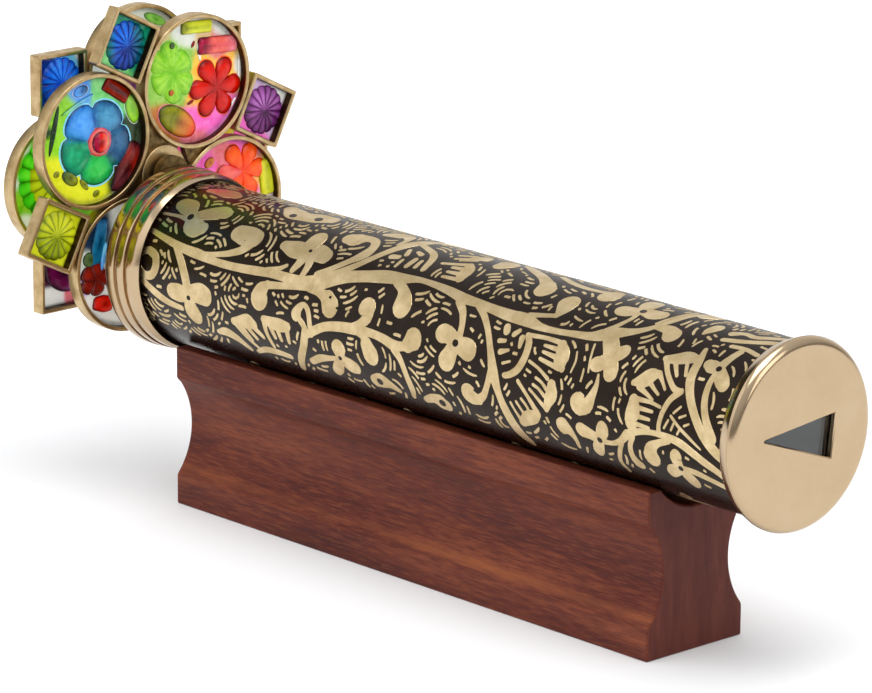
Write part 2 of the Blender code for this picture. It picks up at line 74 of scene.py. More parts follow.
# Points closer than SAME_POINT, or corners that turn less than FLAT_CORNER radians, are left as they are.
# A rounding takes at most CORNER_SHARE of a side, and a turned point within POLE_RADIUS is a pole.
SAME_POINT = 1e-7
FLAT_CORNER = 0.3
CORNER_SHARE = 0.45
POLE_RADIUS = 1e-9


class Body(Enum):
    """The bodies that pieces ride on."""

    STAND = "stand"
    SCOPE = "scope"
    NEAR_WHEEL = "near_wheel"
    FAR_WHEEL = "far_wheel"


# Mesh helpers


def linear(colour: Rgb) -> tuple[float, float, float, float]:
    """Turns a display colour into the linear one that a shader takes.

    Args:
        colour: Red, green and blue from 0 to 255.

    Returns:
        The linear colour with full alpha.
    """
    parts = []
    for value in colour:
        share = value / 255
        parts.append(share / 12.92 if share <= 0.04045 else ((share + 0.055) / 1.055) ** 2.4)
    return (*parts, 1.0)


def arc(middle: Flat, radius: float, start: float, end: float, points: int) -> list[Flat]:
    """Lays points along an arc.

    Args:
        middle: The arc's middle.
        radius: Its radius.
        start: The first point's angle in radians.
        end: The last point's angle.
        points: How many points, both ends included.

    Returns:
        The points in order.
    """
    steps = [start + (end - start) * index / (points - 1) for index in range(points)]
    return [(middle[0] + radius * math.cos(a), middle[1] + radius * math.sin(a)) for a in steps]


def dome(foot_x: float, depth: float, tip_radius: float, swell: float, steps: int) -> list[Flat]:
    """Lays the (x, radius) points of a dome that rises towards -X.

    Args:
        foot_x: Where the dome starts.
        depth: How far it rises.
        tip_radius: Radius at its tip.
        swell: How much wider its foot is.
        steps: Steps from the foot to the tip.

    Returns:
        The points from the foot to the tip.
    """
    angles = [math.pi / 2 * step / steps for step in range(steps + 1)]
    return [(foot_x - depth * math.sin(angle), tip_radius + swell * math.cos(angle)) for angle in angles]


def oval(half_length: float, half_width: float, count: int) -> list[Flat]:
    """Lays a count of points round an oval about the origin."""
    turns = [2 * math.pi * step / count for step in range(count)]
    return [(half_length * math.cos(turn), half_width * math.sin(turn)) for turn in turns]


def eased(outline: list[Flat], reach: float, points: int = 4) -> list[Flat]:
    """Rounds the sharp corners of a closed outline.

    Args:
        outline: Corner points in order.
        reach: How far from a corner its rounding starts.
        points: Points in each rounding.

    Returns:
        The outline with its corners rounded.
    """
    made: list[Flat] = []
    for index, corner in enumerate(outline):
        before = Vector(outline[index - 1]) - Vector(corner)
        after = Vector(outline[(index + 1) % len(outline)]) - Vector(corner)
        if min(before.length, after.length) < SAME_POINT or math.pi - before.angle(after) < FLAT_CORNER:
            made.append(corner)
            continue
        cut = min(reach, before.length * CORNER_SHARE, after.length * CORNER_SHARE)
        first = Vector(corner) + before.normalized() * cut
        last = Vector(corner) + after.normalized() * cut
        for step in range(points):
            share = step / (points - 1)
            point = first * (1 - share) ** 2 + Vector(corner) * 2 * share * (1 - share) + last * share**2
            made.append((point.x, point.y))
    return made


def inset(outline: list[Flat], depth: float) -> list[Flat]:
    """Moves every point of an anticlockwise outline inwards.

    Args:
        outline: Points in order.
        depth: How far inwards.

    Returns:
        The smaller outline.
    """
    made = []
    for index, point in enumerate(outline):
        along = Vector(outline[(index + 1) % len(outline)]) - Vector(outline[index - 1])
        inward = Vector((-along.y, along.x)).normalized()
        made.append((point[0] + inward.x * depth, point[1] + inward.y * depth))
    return made


def skin(bm: bmesh.types.BMesh, rings: list[list[bmesh.types.BMVert]], wrap: bool = False) -> None:
    """Joins closed rings of points by faces; a ring of one point is a pole.

    Args:
        bm: The mesh that holds the points.
        rings: The rings in order.
        wrap: Whether the last ring joins the first; otherwise the open ends are closed.
    """
    for first, second in zip(rings, rings[1:] + rings[:1] if wrap else rings[1:]):
        count = max(len(first), len(second))
        for step in range(count if count > 1 else 0):
            after = (step + 1) % count
            places = (first[step % len(first)], first[after % len(first)], second[after % len(second)])
            bm.faces.new(list(dict.fromkeys((*places, second[step % len(second)]))))
    if not wrap:
        for ring in (rings[0], rings[-1]):
            if len(ring) > 2:
                bm.faces.new(ring)


def loft(bm: bmesh.types.BMesh, rings: list[list[Vector]], wrap: bool = False) -> None:
    """Adds rings of points to a mesh and skins them, as skin tells."""
    skin(bm, [[bm.verts.new(point) for point in ring] for ring in rings], wrap)


def turned(bm: bmesh.types.BMesh, outline: list[Flat], centre: Flat, segments: int) -> None:
    """Turns a closed outline of (x, radius) points about a line along X.

    Args:
        bm: The mesh to add to.
        outline: The section; a radius of zero is a pole.
        centre: The line's y and z.
        segments: Facets round the turn.
    """
    rings = []
    for x, radius in outline:
        if radius <= POLE_RADIUS:
            rings.append([Vector((x, *centre))])
        else:
            loop = oval(radius, radius, segments)
            rings.append([Vector((x, centre[0] + y, centre[1] + z)) for y, z in loop])
    loft(bm, rings, wrap=True)


def ring_section(outer: float, inner: float, back_x: float, front_x: float) -> list[Flat]:
    """The closed section of a plain ring, ready to be eased."""
    return [(front_x, inner), (front_x, outer), (back_x, outer), (back_x, inner)]


def link_object(name: str, data: bpy.types.ID) -> bpy.types.Object:
    """Makes an object and links it to the scene.

    Args:
        name: The object's name.
        data: Its mesh, lamp or camera.

    Returns:
        The new object.
    """
    made = bpy.data.objects.new(name, data)
    bpy.context.scene.collection.objects.link(made)
    return made


def store(name: str, bm: bmesh.types.BMesh) -> bpy.types.Object:
    """Makes an object of a mesh, its faces turned outwards.

    Args:
        name: The object's name.
        bm: Its mesh, freed here.

    Returns:
        The new object.
    """
    bmesh.ops.recalc_face_normals(bm, faces=bm.faces)
    mesh = bpy.data.meshes.new(name)
    bm.to_mesh(mesh)
    bm.free()
    return link_object(name, mesh)


def dress_piece(
    piece: bpy.types.Object, finishes: list["Surface"], body: Body, nodes: tuple[str, ...],
    sharp: float,
) -> None:
    """Gives a piece its finishes, shading, body and CAD nodes.

    Args:
        piece: The object.
        finishes: Its finishes in slot order.
        body: The body that it rides on.
        nodes: CAD nodes that it stands for.
        sharp: Angle in degrees past which an edge shades sharp.
    """
    mesh = piece.data
    if not mesh.materials:
        for finish in finishes:
            mesh.materials.append(finish.material())
    mesh.shade_smooth()
    mesh.set_sharp_from_angle(angle=math.radians(sharp))
    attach(piece, body.value)
    if nodes:
        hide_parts(*nodes)
    log.info("%s: %d faces on %s", piece.name, len(mesh.polygons), body.value)


def bake(piece: bpy.types.Object) -> None:
    """Turns a piece's evaluated modifiers into its plain mesh.

    Args:
        piece: The object.
    """
    graph = bpy.context.evaluated_depsgraph_get()
    mesh = bpy.data.meshes.new_from_object(piece.evaluated_get(graph), depsgraph=graph)
    piece.modifiers.clear()
    old = piece.data
    piece.data = mesh
    mesh.name = piece.name
    bpy.data.meshes.remove(old)


def cut_out(piece: bpy.types.Object, tool: bmesh.types.BMesh) -> None:
    """Cuts a closed body out of a piece.

    Args:
        piece: The object to cut.
        tool: The body to take away, freed here.
    """
    helper = store("cut_tool", tool)
    step = piece.modifiers.new("cut", "BOOLEAN")
    step.operation, step.solver, step.object = "DIFFERENCE", "EXACT", helper
    bake(piece)
    bpy.data.objects.remove(helper, do_unlink=True)


# Shader helpers


class NodeSheet:
    """Adds and links the nodes of one tree."""

    def __init__(self, tree: bpy.types.NodeTree) -> None:
        """Keeps the tree."""
        self.tree = tree

    def fill(self, node: bpy.types.Node, values: dict) -> None:
        """Sets a node's inputs.

        Args:
            node: The node.
            values: Inputs by name or number, each a plain value or an output to link.
        """
        for key, value in values.items():
            if isinstance(value, bpy.types.NodeSocket):
                self.tree.links.new(value, node.inputs[key])
            else:
                node.inputs[key].default_value = value

    def add(self, kind: str, values: dict | None = None, **props: object) -> bpy.types.Node:
        """Adds a node.

        Args:
            kind: The node's type name.
            values: Its inputs, as fill takes them.
            props: Attributes of the node itself.

        Returns:
            The new node.
        """
        node = self.tree.nodes.new(kind)
        for key, value in props.items():
            setattr(node, key, value)
        self.fill(node, values or {})
        return node

    def maths(self, operation: str, *values: object) -> bpy.types.NodeSocket:
        """Adds a maths node and gives its result."""
        return self.add("ShaderNodeMath", dict(enumerate(values)), operation=operation).outputs[0]

    def blend(self, share: object, first: object, second: object) -> bpy.types.NodeSocket:
        """Mixes two colours by a share and gives the result."""
        return self.add("ShaderNodeMix", {0: share, 6: first, 7: second}, data_type="RGBA").outputs[2]

    def noise(self, place: object, scale: object, **values: float) -> bpy.types.NodeSocket:
        """Adds a noise texture.

        Args:
            place: Its coordinates.
            scale: The scale of its pattern.
            values: Its other inputs, their names in small letters.

        Returns:
            The noise, from 0 to 1.
        """
        inputs = {key.capitalize(): value for key, value in values.items()}
        return self.add("ShaderNodeTexNoise", {"Vector": place, "Scale": scale, **inputs}).outputs["Fac"]

    def spread(
        self, value: object, low: object, high: object, out_low: object, out_high: object
    ) -> bpy.types.NodeSocket:
        """Maps a value from one range to another, clamped."""
        keys = ("Value", "From Min", "From Max", "To Min", "To Max")
        values = dict(zip(keys, (value, low, high, out_low, out_high)))
        return self.add("ShaderNodeMapRange", values).outputs[0]


def make_group(name: str, inputs: dict[str, object], outputs: dict[str, str]) -> NodeSheet:
    """Starts a shader node group with named sockets.

    Args:
        name: The group's name.
        inputs: Names and their plain starting values: a float, a colour or None for a vector.
        outputs: Names and socket types.

    Returns:
        A sheet on the group's tree, with its input node as `inputs` and output node as `outputs`.
    """
    tree = bpy.data.node_groups.new(name, "ShaderNodeTree")
    for key, value in inputs.items():
        kind = "NodeSocketFloat"
        if value is None:
            kind = "NodeSocketVector"
        elif isinstance(value, tuple):
            kind = "NodeSocketColor"
        socket = tree.interface.new_socket(name=key, in_out="INPUT", socket_type=kind)
        if value is not None:
            socket.default_value = value
    for key, kind in outputs.items():
        tree.interface.new_socket(name=key, in_out="OUTPUT", socket_type=kind)
    sheet = NodeSheet(tree)
    sheet.inputs = sheet.add("NodeGroupInput")
    sheet.outputs = sheet.add("NodeGroupOutput")
    return sheet


def patina_group() -> bpy.types.NodeTree:
    """Builds the shared group for uneven tone and roughness with a fine surface.

    Returns:
        The group's tree.
    """
    found = bpy.data.node_groups.get("patina")
    if found:
        return found
    sheet = make_group(
        "patina",
        {
            "Vector": None,
            "Scale": 120.0,
            "Pale": (1.0, 1.0, 1.0, 1.0),
            "Deep": (0.5, 0.5, 0.5, 1.0),
            "Low Roughness": 0.2,
            "High Roughness": 0.4,
        },
        {"Color": "NodeSocketColor", "Roughness": "NodeSocketFloat", "Height": "NodeSocketFloat"},
    )
    source = sheet.inputs.outputs
    broad = sheet.noise(source["Vector"], source["Scale"], detail=4.0, roughness=0.6)
    fine_scale = sheet.maths("MULTIPLY", source["Scale"], 9.0)
    fine = sheet.noise(source["Vector"], fine_scale, detail=3.0, roughness=0.5)
    mask = sheet.spread(sheet.maths("ADD", broad, sheet.maths("MULTIPLY", fine, 0.25)), 0.42, 0.82, 0.0, 1.0)
    rough = sheet.spread(mask, 0.0, 1.0, source["Low Roughness"], source["High Roughness"])
    colour = sheet.blend(mask, source["Pale"], source["Deep"])
    sheet.fill(sheet.outputs, {"Color": colour, "Roughness": rough, "Height": fine})
    return sheet.tree


def scratch_group() -> bpy.types.NodeTree:
    """Builds the shared group for hairline scratches that run one way.

    Returns:
        The group's tree.
    """
    found = bpy.data.node_groups.get("hairlines")
    if found:
        return found
    sheet = make_group(
        "hairlines", {"Vector": None, "Along": 40.0, "Across": 2600.0}, {"Height": "NodeSocketFloat"}
    )
    source = sheet.inputs.outputs
    across = source["Across"]
    scale = sheet.add("ShaderNodeCombineXYZ", {"X": source["Along"], "Y": across, "Z": across}).outputs[0]
    stretched = sheet.add("ShaderNodeVectorMath", {0: source["Vector"], 1: scale}, operation="MULTIPLY")
    lines = sheet.noise(stretched.outputs[0], 1.0, detail=2.0)
    sheet.fill(sheet.outputs, {"Height": sheet.spread(lines, 0.35, 0.7, 0.0, 1.0)})
    return sheet.tree


@dataclass(frozen=True)
class Surface:
    """A look that is built once and shared by the pieces that have it."""

    name: str
    slot: str

    def material(self) -> bpy.types.Material:
        """Builds the material on first use.

        Returns:
            The material.
        """
        name = f"{self.name}_finish"
        found = bpy.data.materials.get(name)
        if found:
            return found
        material = bpy.data.materials.new(name)
        material.use_nodes = True
        sheet = NodeSheet(material.node_tree)
        place = sheet.add("ShaderNodeTexCoord").outputs["Object"]
        self.paint(sheet, material.node_tree.nodes["Principled BSDF"], place)
        return material

    def paint(self, sheet: NodeSheet, shader: bpy.types.Node, place: bpy.types.NodeSocket) -> None:
        """Fills the material's shader, which each kind of surface does in its own way."""
        raise NotImplementedError


@dataclass(frozen=True)
class Finish(Surface):
    """A surface made from a pale and a deep tone with uneven polish.

    The sizes of its pattern are per metre of Object coordinates.
    """

    pale: Rgb
    deep: Rgb
    roughness: tuple[float, float] = (0.2, 0.4)
    scale: float = 120.0
    metallic: float = 0.0
    transmission: float = 0.0
    coat: float = 0.0
    coat_roughness: float = 0.08
    bump: float = 0.1
    bump_distance: float = 0.00002
    hairlines: float = 0.0
    # Emission strength, painted light: the surface glows in its own colour though it is no lamp.
    painted_light: float = 0.0
    specular: float = 0.5
    sheen: Rgb = (255, 255, 255)

    def tones(self, sheet: NodeSheet, place: bpy.types.NodeSocket) -> tuple:
        """Gives the sockets of colour, roughness and height.

        Args:
            sheet: The material's nodes.
            place: Object coordinates.

        Returns:
            Colour, roughness and height.
        """
        keys = ("Vector", "Scale", "Pale", "Deep", "Low Roughness", "High Roughness")
        values = (place, self.scale, linear(self.pale), linear(self.deep), *self.roughness)
        group = sheet.add("ShaderNodeGroup", dict(zip(keys, values)), node_tree=patina_group())
        return tuple(group.outputs[key] for key in ("Color", "Roughness", "Height"))

    def paint(self, sheet: NodeSheet, shader: bpy.types.Node, place: bpy.types.NodeSocket) -> None:
        """Fills the material's shader.

        Args:
            sheet: The material's nodes.
            shader: Its Principled BSDF.
            place: Object coordinates.
        """
        colour, rough, height = self.tones(sheet, place)
        if self.hairlines:
            lines = sheet.add("ShaderNodeGroup", {"Vector": place}, node_tree=scratch_group())
            scratched = sheet.maths("MULTIPLY", lines.outputs["Height"], self.hairlines)
            height = sheet.maths("ADD", height, scratched)
        bump = sheet.add(
            "ShaderNodeBump", {"Strength": self.bump, "Distance": self.bump_distance, "Height": height}
        )
        sheet.fill(shader, {
            "Base Color": colour,
            "Roughness": rough,
            "Normal": bump.outputs["Normal"],
            "Metallic": self.metallic,
            "Transmission Weight": self.transmission,
            "Coat Weight": self.coat,
            "Coat Roughness": self.coat_roughness,
            "Specular IOR Level": self.specular,
            "Specular Tint": linear(self.sheen),
        })
        # Emission is painted light, a glow in the surface's own colour.
        if self.painted_light:
            sheet.fill(shader, {"Emission Color": colour, "Emission Strength": self.painted_light})


POLISHED_BRASS = Finish(
    "polished_brass", "polished_brass", (202, 178, 142), (188, 162, 124), (0.14, 0.26), 160.0, 1.0,
    bump=0.06, hairlines=0.6,
)
TURNED_BRASS = Finish(
    "turned_brass", "polished_brass", (197, 173, 141), (192, 167, 133), (0.10, 0.20), 120.0, 1.0,
    bump=0.05, hairlines=0.5,
)
BEZEL_BRASS = Finish(
    "bezel_brass", "polished_brass", (212, 187, 142), (176, 147, 100), (0.26, 0.46), 300.0, 1.0,
    bump=0.3,
)
# The bezels' inner walls take this darker brass as painted shade.
BEZEL_INSIDE_SHADE = Finish(
    "bezel_inside", "polished_brass", (96, 70, 42), (38, 26, 18), (0.34, 0.6), 420.0, 1.0,
    bump=0.4,
)
# Real solder on the wheels; on the axle boss the same dark finish is painted shade.
SOLDER_AND_BOSS_SHADE = Finish(
    "old_solder", "polished_brass", (140, 118, 78), (78, 62, 38), (0.3, 0.55), 500.0, 1.0, bump=0.6,
    bump_distance=0.0001,
)
ETCHED_BRASS = Finish(
    "etched_brass", "etched_brass", (226, 203, 159), (194, 170, 124), (0.26, 0.44), 260.0, 1.0,
    bump=0.15,
)
LACQUER = Finish(
    "black_lacquer", "black_lacquer", (26, 13, 8), (14, 7, 4), (0.18, 0.34), 200.0, 0.0,
    specular=0.22, bump=0.3, sheen=(255, 231, 206),
)
MIRROR = Finish(
    "silvered_mirror", "silvered_mirror", (215, 218, 216), (200, 204, 204), (0.02, 0.06), 90.0, 1.0,
    bump=0.02,
)
CARD = Finish("black_card", "black_card", (26, 25, 25), (15, 14, 14), (0.7, 0.9), 500.0, bump=0.4)
FOAM = Finish(
    "grey_foam", "grey_foam", (92, 92, 94), (58, 58, 60), (0.85, 0.98), 900.0, bump=0.9,
    bump_distance=0.0002,
)
GLASS = Finish(
    "clear_glass", "clear_glass", (244, 250, 249), (236, 244, 243), (0.0, 0.03), 60.0,
    transmission=1.0, bump=0.01,
)


@dataclass(frozen=True)
class Rosewood(Surface):
    """Oiled rosewood with streaks along X and a darker end grain."""

    name: str = "rosewood"
    slot: str = "rosewood"
    pale: Rgb = (146, 78, 52)
    middle: Rgb = (106, 48, 35)
    dark: Rgb = (68, 27, 25)
    worn: Rgb = (164, 94, 54)
    end_pale: Rgb = (108, 54, 44)
    end_dark: Rgb = (84, 38, 32)
    worn_edge: tuple[float, float] = (8.8 * MM, 1.3 * MM)
    broad_grain: tuple[float, float, float] = (13.0, 95.0, 95.0)
    streak_grain: tuple[float, float, float] = (90.0, 900.0, 900.0)
    pore_grain: tuple[float, float, float] = (230.0, 2500.0, 2500.0)
    end_grain: tuple[float, float, float] = (20.0, 520.0, 90.0)

    def paint(self, sheet: NodeSheet, shader: bpy.types.Node, place: bpy.types.NodeSocket) -> None:
        """Fills the material's shader.

        Args:
            sheet: The material's nodes.
            shader: Its Principled BSDF.
            place: Object coordinates.
        """

        def grain(scale: tuple[float, float, float], **values: float) -> bpy.types.NodeSocket:
            """Gives noise stretched along the grain."""
            stretched = sheet.add("ShaderNodeMapping", {"Vector": place, "Scale": scale}).outputs[0]
            return sheet.noise(stretched, 1.0, **values)

        dark, pale, worn = linear(self.dark), linear(self.pale), linear(self.worn)
        broad = grain(self.broad_grain, detail=4.0, distortion=0.4)
        streaks = grain(self.streak_grain, detail=5.0, roughness=0.6)
        pores = grain(self.pore_grain, detail=2.0, roughness=0.6)
        tone = sheet.maths("ADD", sheet.maths("MULTIPLY", broad, 0.6), sheet.maths("MULTIPLY", streaks, 0.45))
        ramp = sheet.add("ShaderNodeValToRGB", {"Fac": sheet.spread(tone, 0.30, 0.76, 0.0, 1.0)})
        stops = ramp.color_ramp.elements
        stops[0].position, stops[0].color = 0.08, dark
        stops[1].position, stops[1].color = 0.92, pale
        stops.new(0.48).color = linear(self.middle)
        side = sheet.blend(sheet.spread(pores, 0.50, 0.66, 0.0, 0.46), ramp.outputs["Color"], dark)
        side = sheet.blend(sheet.spread(pores, 0.34, 0.46, 0.24, 0.0), side, worn)
        height = sheet.add("ShaderNodeSeparateXYZ", {0: place}).outputs["Z"]
        level, reach = self.worn_edge
        away = sheet.maths("ABSOLUTE", sheet.maths("SUBTRACT", height, level))
        near_edge = sheet.spread(away, 0.0, reach, 1.0, 0.0)
        rubbed = sheet.maths("MULTIPLY", near_edge, sheet.spread(broad, 0.42, 0.66, 0.0, 0.6))
        side = sheet.blend(rubbed, side, worn)
        end_rings = sheet.spread(grain(self.end_grain, detail=4.0), 0.25, 0.75, 0.0, 1.0)
        end = sheet.blend(end_rings, linear(self.end_dark), linear(self.end_pale))
        facing = sheet.add("ShaderNodeSeparateXYZ", {0: sheet.add("ShaderNodeNewGeometry").outputs["Normal"]})
        end_mask = sheet.spread(sheet.maths("ABSOLUTE", facing.outputs["X"]), 0.6, 0.9, 0.0, 1.0)
        bump = sheet.add("ShaderNodeBump", {"Strength": 0.25, "Distance": 0.00005, "Height": pores})
        sheet.fill(shader, {
            "Base Color": sheet.blend(end_mask, side, end),
            "Roughness": sheet.spread(streaks, 0.3, 0.7, 0.36, 0.56),
            "Normal": bump.outputs["Normal"],
            "Specular IOR Level": 0.16,
            "Coat Weight": 0.02,
            "Coat Roughness": 0.3,
        })


class Tint(Enum):
    """Colours of the cast resin and of the glass beads, with the record's slot for each."""

    CLEAR = ("resin_clear", (238, 240, 232), (214, 220, 208))
    WHITE = ("resin_clear", (250, 250, 244), (226, 230, 226))
    PALE_LIME = ("resin_green", (172, 218, 106), (140, 196, 70))
    PALE_GREEN = ("resin_green", (150, 224, 140), (108, 200, 120))
    GREEN = ("resin_green", (112, 240, 50), (66, 214, 24))
    LEAF = ("resin_green", (142, 204, 88), (110, 176, 62))
    YELLOW = ("resin_yellow", (236, 238, 50), (206, 214, 24))
    LIME_YELLOW = ("resin_yellow", (206, 212, 48), (158, 174, 20))
    AMBER = ("resin_yellow", (252, 210, 86), (240, 176, 50))
    BEIGE = ("resin_clear", (228, 200, 150), (204, 170, 116))
    LIME = ("resin_green", (160, 222, 50), (112, 186, 22))
    SKY = ("resin_blue", (110, 180, 248), (60, 140, 226))
    SKY_BLUE = ("resin_blue", (60, 150, 255), (20, 96, 230))
    BLUE = ("resin_blue", (30, 124, 236), (4, 66, 176))
    CYAN = ("resin_blue", (150, 226, 250), (96, 190, 234))
    PINK = ("resin_pink", (250, 128, 212), (232, 84, 182))
    ROSE = ("resin_pink", (236, 140, 150), (224, 104, 118))
    LILAC = ("resin_purple", (232, 208, 236), (206, 172, 216))
    PURPLE = ("resin_purple", (190, 118, 196), (130, 54, 130))
    PLUM = ("resin_purple", (108, 6, 72), (62, 0, 40))
    BEAD_LIME = ("bead_lime", (168, 222, 68), (126, 198, 42))
    BEAD_RED = ("bead_red", (218, 26, 10), (162, 4, 0))
    BEAD_CRIMSON = ("bead_red", (170, 12, 66), (120, 2, 42))
    BEAD_BRICK = ("bead_red", (146, 26, 10), (94, 6, 2))
    BEAD_CORAL = ("bead_orange", (238, 118, 104), (226, 88, 90))
    BEAD_ORANGE = ("bead_orange", (250, 104, 30), (238, 66, 12))
    BEAD_OCHRE = ("bead_orange", (206, 132, 50), (176, 92, 40))
    BEAD_OLIVE = ("bead_yellow", (144, 148, 34), (104, 112, 22))
    BEAD_YELLOW = ("bead_yellow", (226, 230, 58), (190, 202, 28))
    BEAD_GREEN = ("bead_green", (48, 200, 92), (24, 160, 90))
    BEAD_EMERALD = ("bead_teal", (30, 176, 128), (8, 118, 100))
    BEAD_TEAL = ("bead_teal", (18, 120, 160), (4, 74, 110))
    BEAD_BLUE = ("bead_blue", (88, 168, 246), (38, 120, 206))
    BEAD_STEEL = ("bead_blue", (76, 156, 200), (30, 96, 150))
    BEAD_SLATE = ("bead_blue", (54, 112, 156), (30, 72, 110))
    BEAD_PURPLE = ("bead_purple", (166, 92, 170), (98, 30, 96))
    BEAD_MAROON = ("bead_purple", (98, 36, 44), (60, 16, 26))
    BEAD_DARK = ("bead_green", (32, 64, 34), (14, 36, 20))
    BEAD_MOSS = ("bead_green", (86, 112, 60), (48, 72, 40))

    def shade(self, tone: float) -> np.ndarray:
        """The linear colour at a tone: 0 is the painted shade of a crease, 0.5 the deep and 1 the pale
        colour.
        """
        pale, deep = np.array(linear(self.value[1])[:3]), np.array(linear(self.value[2])[:3])
        if tone >= 0.5:
            return deep + (pale - deep) * (2 * tone - 1)
        return deep * (0.30 + 1.40 * tone)


class Resin(Finish):
    """Cast resin and glass beads, coloured point by point by the mesh's own tint attribute."""

    def tones(self, sheet: NodeSheet, place: bpy.types.NodeSocket) -> tuple:
        """Gives the tint with a cloudy change of strength, a roughness and a wavy height.

        Args:
            sheet: The material's nodes.
            place: Object coordinates.

        Returns:
            Colour, roughness and height.
        """
        tint = sheet.add("ShaderNodeAttribute", attribute_name="tint").outputs["Color"]
        cloud = sheet.noise(place, self.scale, detail=3.0, distortion=0.8)
        wave = sheet.noise(place, self.scale * 1.6, detail=1.0)
        deep = sheet.add("ShaderNodeGamma", {"Color": tint, "Gamma": 1.7}).outputs[0]
        colour = sheet.blend(sheet.spread(cloud, 0.42, 0.72, 0.0, 0.75), tint, deep)
        return colour, sheet.spread(cloud, 0.3, 0.7, *self.roughness), wave


# The resin's emission is painted light, standing in for the light that shines through the jewels.
RESIN = Resin(
    "cast_resin", "resin_clear", (230, 230, 224), (160, 160, 156), (0.06, 0.18), 420.0, transmission=0.12,
    coat=0.16, bump=0.9, bump_distance=0.00014, painted_light=0.26, specular=0.2,
)


# The scroll as laid out flat on the tube, in millimetres: length along X, arc length from the top
# towards -Y, and full width at each point. The hidden side is the front turned by BACK_TURN, and the
# two SEAM_LINES lie between them.
BACK_TURN = 97.0
SEAM_LINES = (54.0, 108.2)
SEAM_WAVE = (2.0, 7.0)
LEAF_SPACING = 8.5
LEAST_WIDTH = 0.12
LEAST_HALF = 0.03
DOT_HALF = 0.05
END_ANGLES = (90.0, 72.0, 50.0, 26.0)

# The background marks: their layout, also in millimetres and radians, and the spread of each draw.
FIELD_CELL = 0.2
FIELD_REACH = 3.0
STACK_TRIES = 6000
STACK_SPACING = 4.8
STACK_BEND = (2.6, 5.0)
STACK_GAP = 0.35
LEAN_SPREAD = (-0.5, 0.5)
LEVEL_SLOPE = 0.2
DASH_STEP = 0.3
DASH_PITCH = 1.32
PITCH_SPREAD = (0.92, 1.1)
DASH_WIDTH = 0.68
WIDTH_SPREAD = (0.85, 1.15)
DASH_LENGTH = (2.2, 5.0)
LEAST_DASH = 1.0
LEAST_RADIUS = 0.8
WIDEST_SWEEP = 2.6
DASH_GAP = 1.2
DASH_MARGIN = 0.8
END_MARGINS = (0.9, 0.3)
# The underside next to the stand is left without marks, so its black lacquer paints the shade there.
PAINTED_SHADE_STRIP = (41.5, 60.0)
BARE_SPOT = ((-82.6, 25.0), 1.6)
SPARSE_FROM = -8.0
SPARSE_EVERY = 4
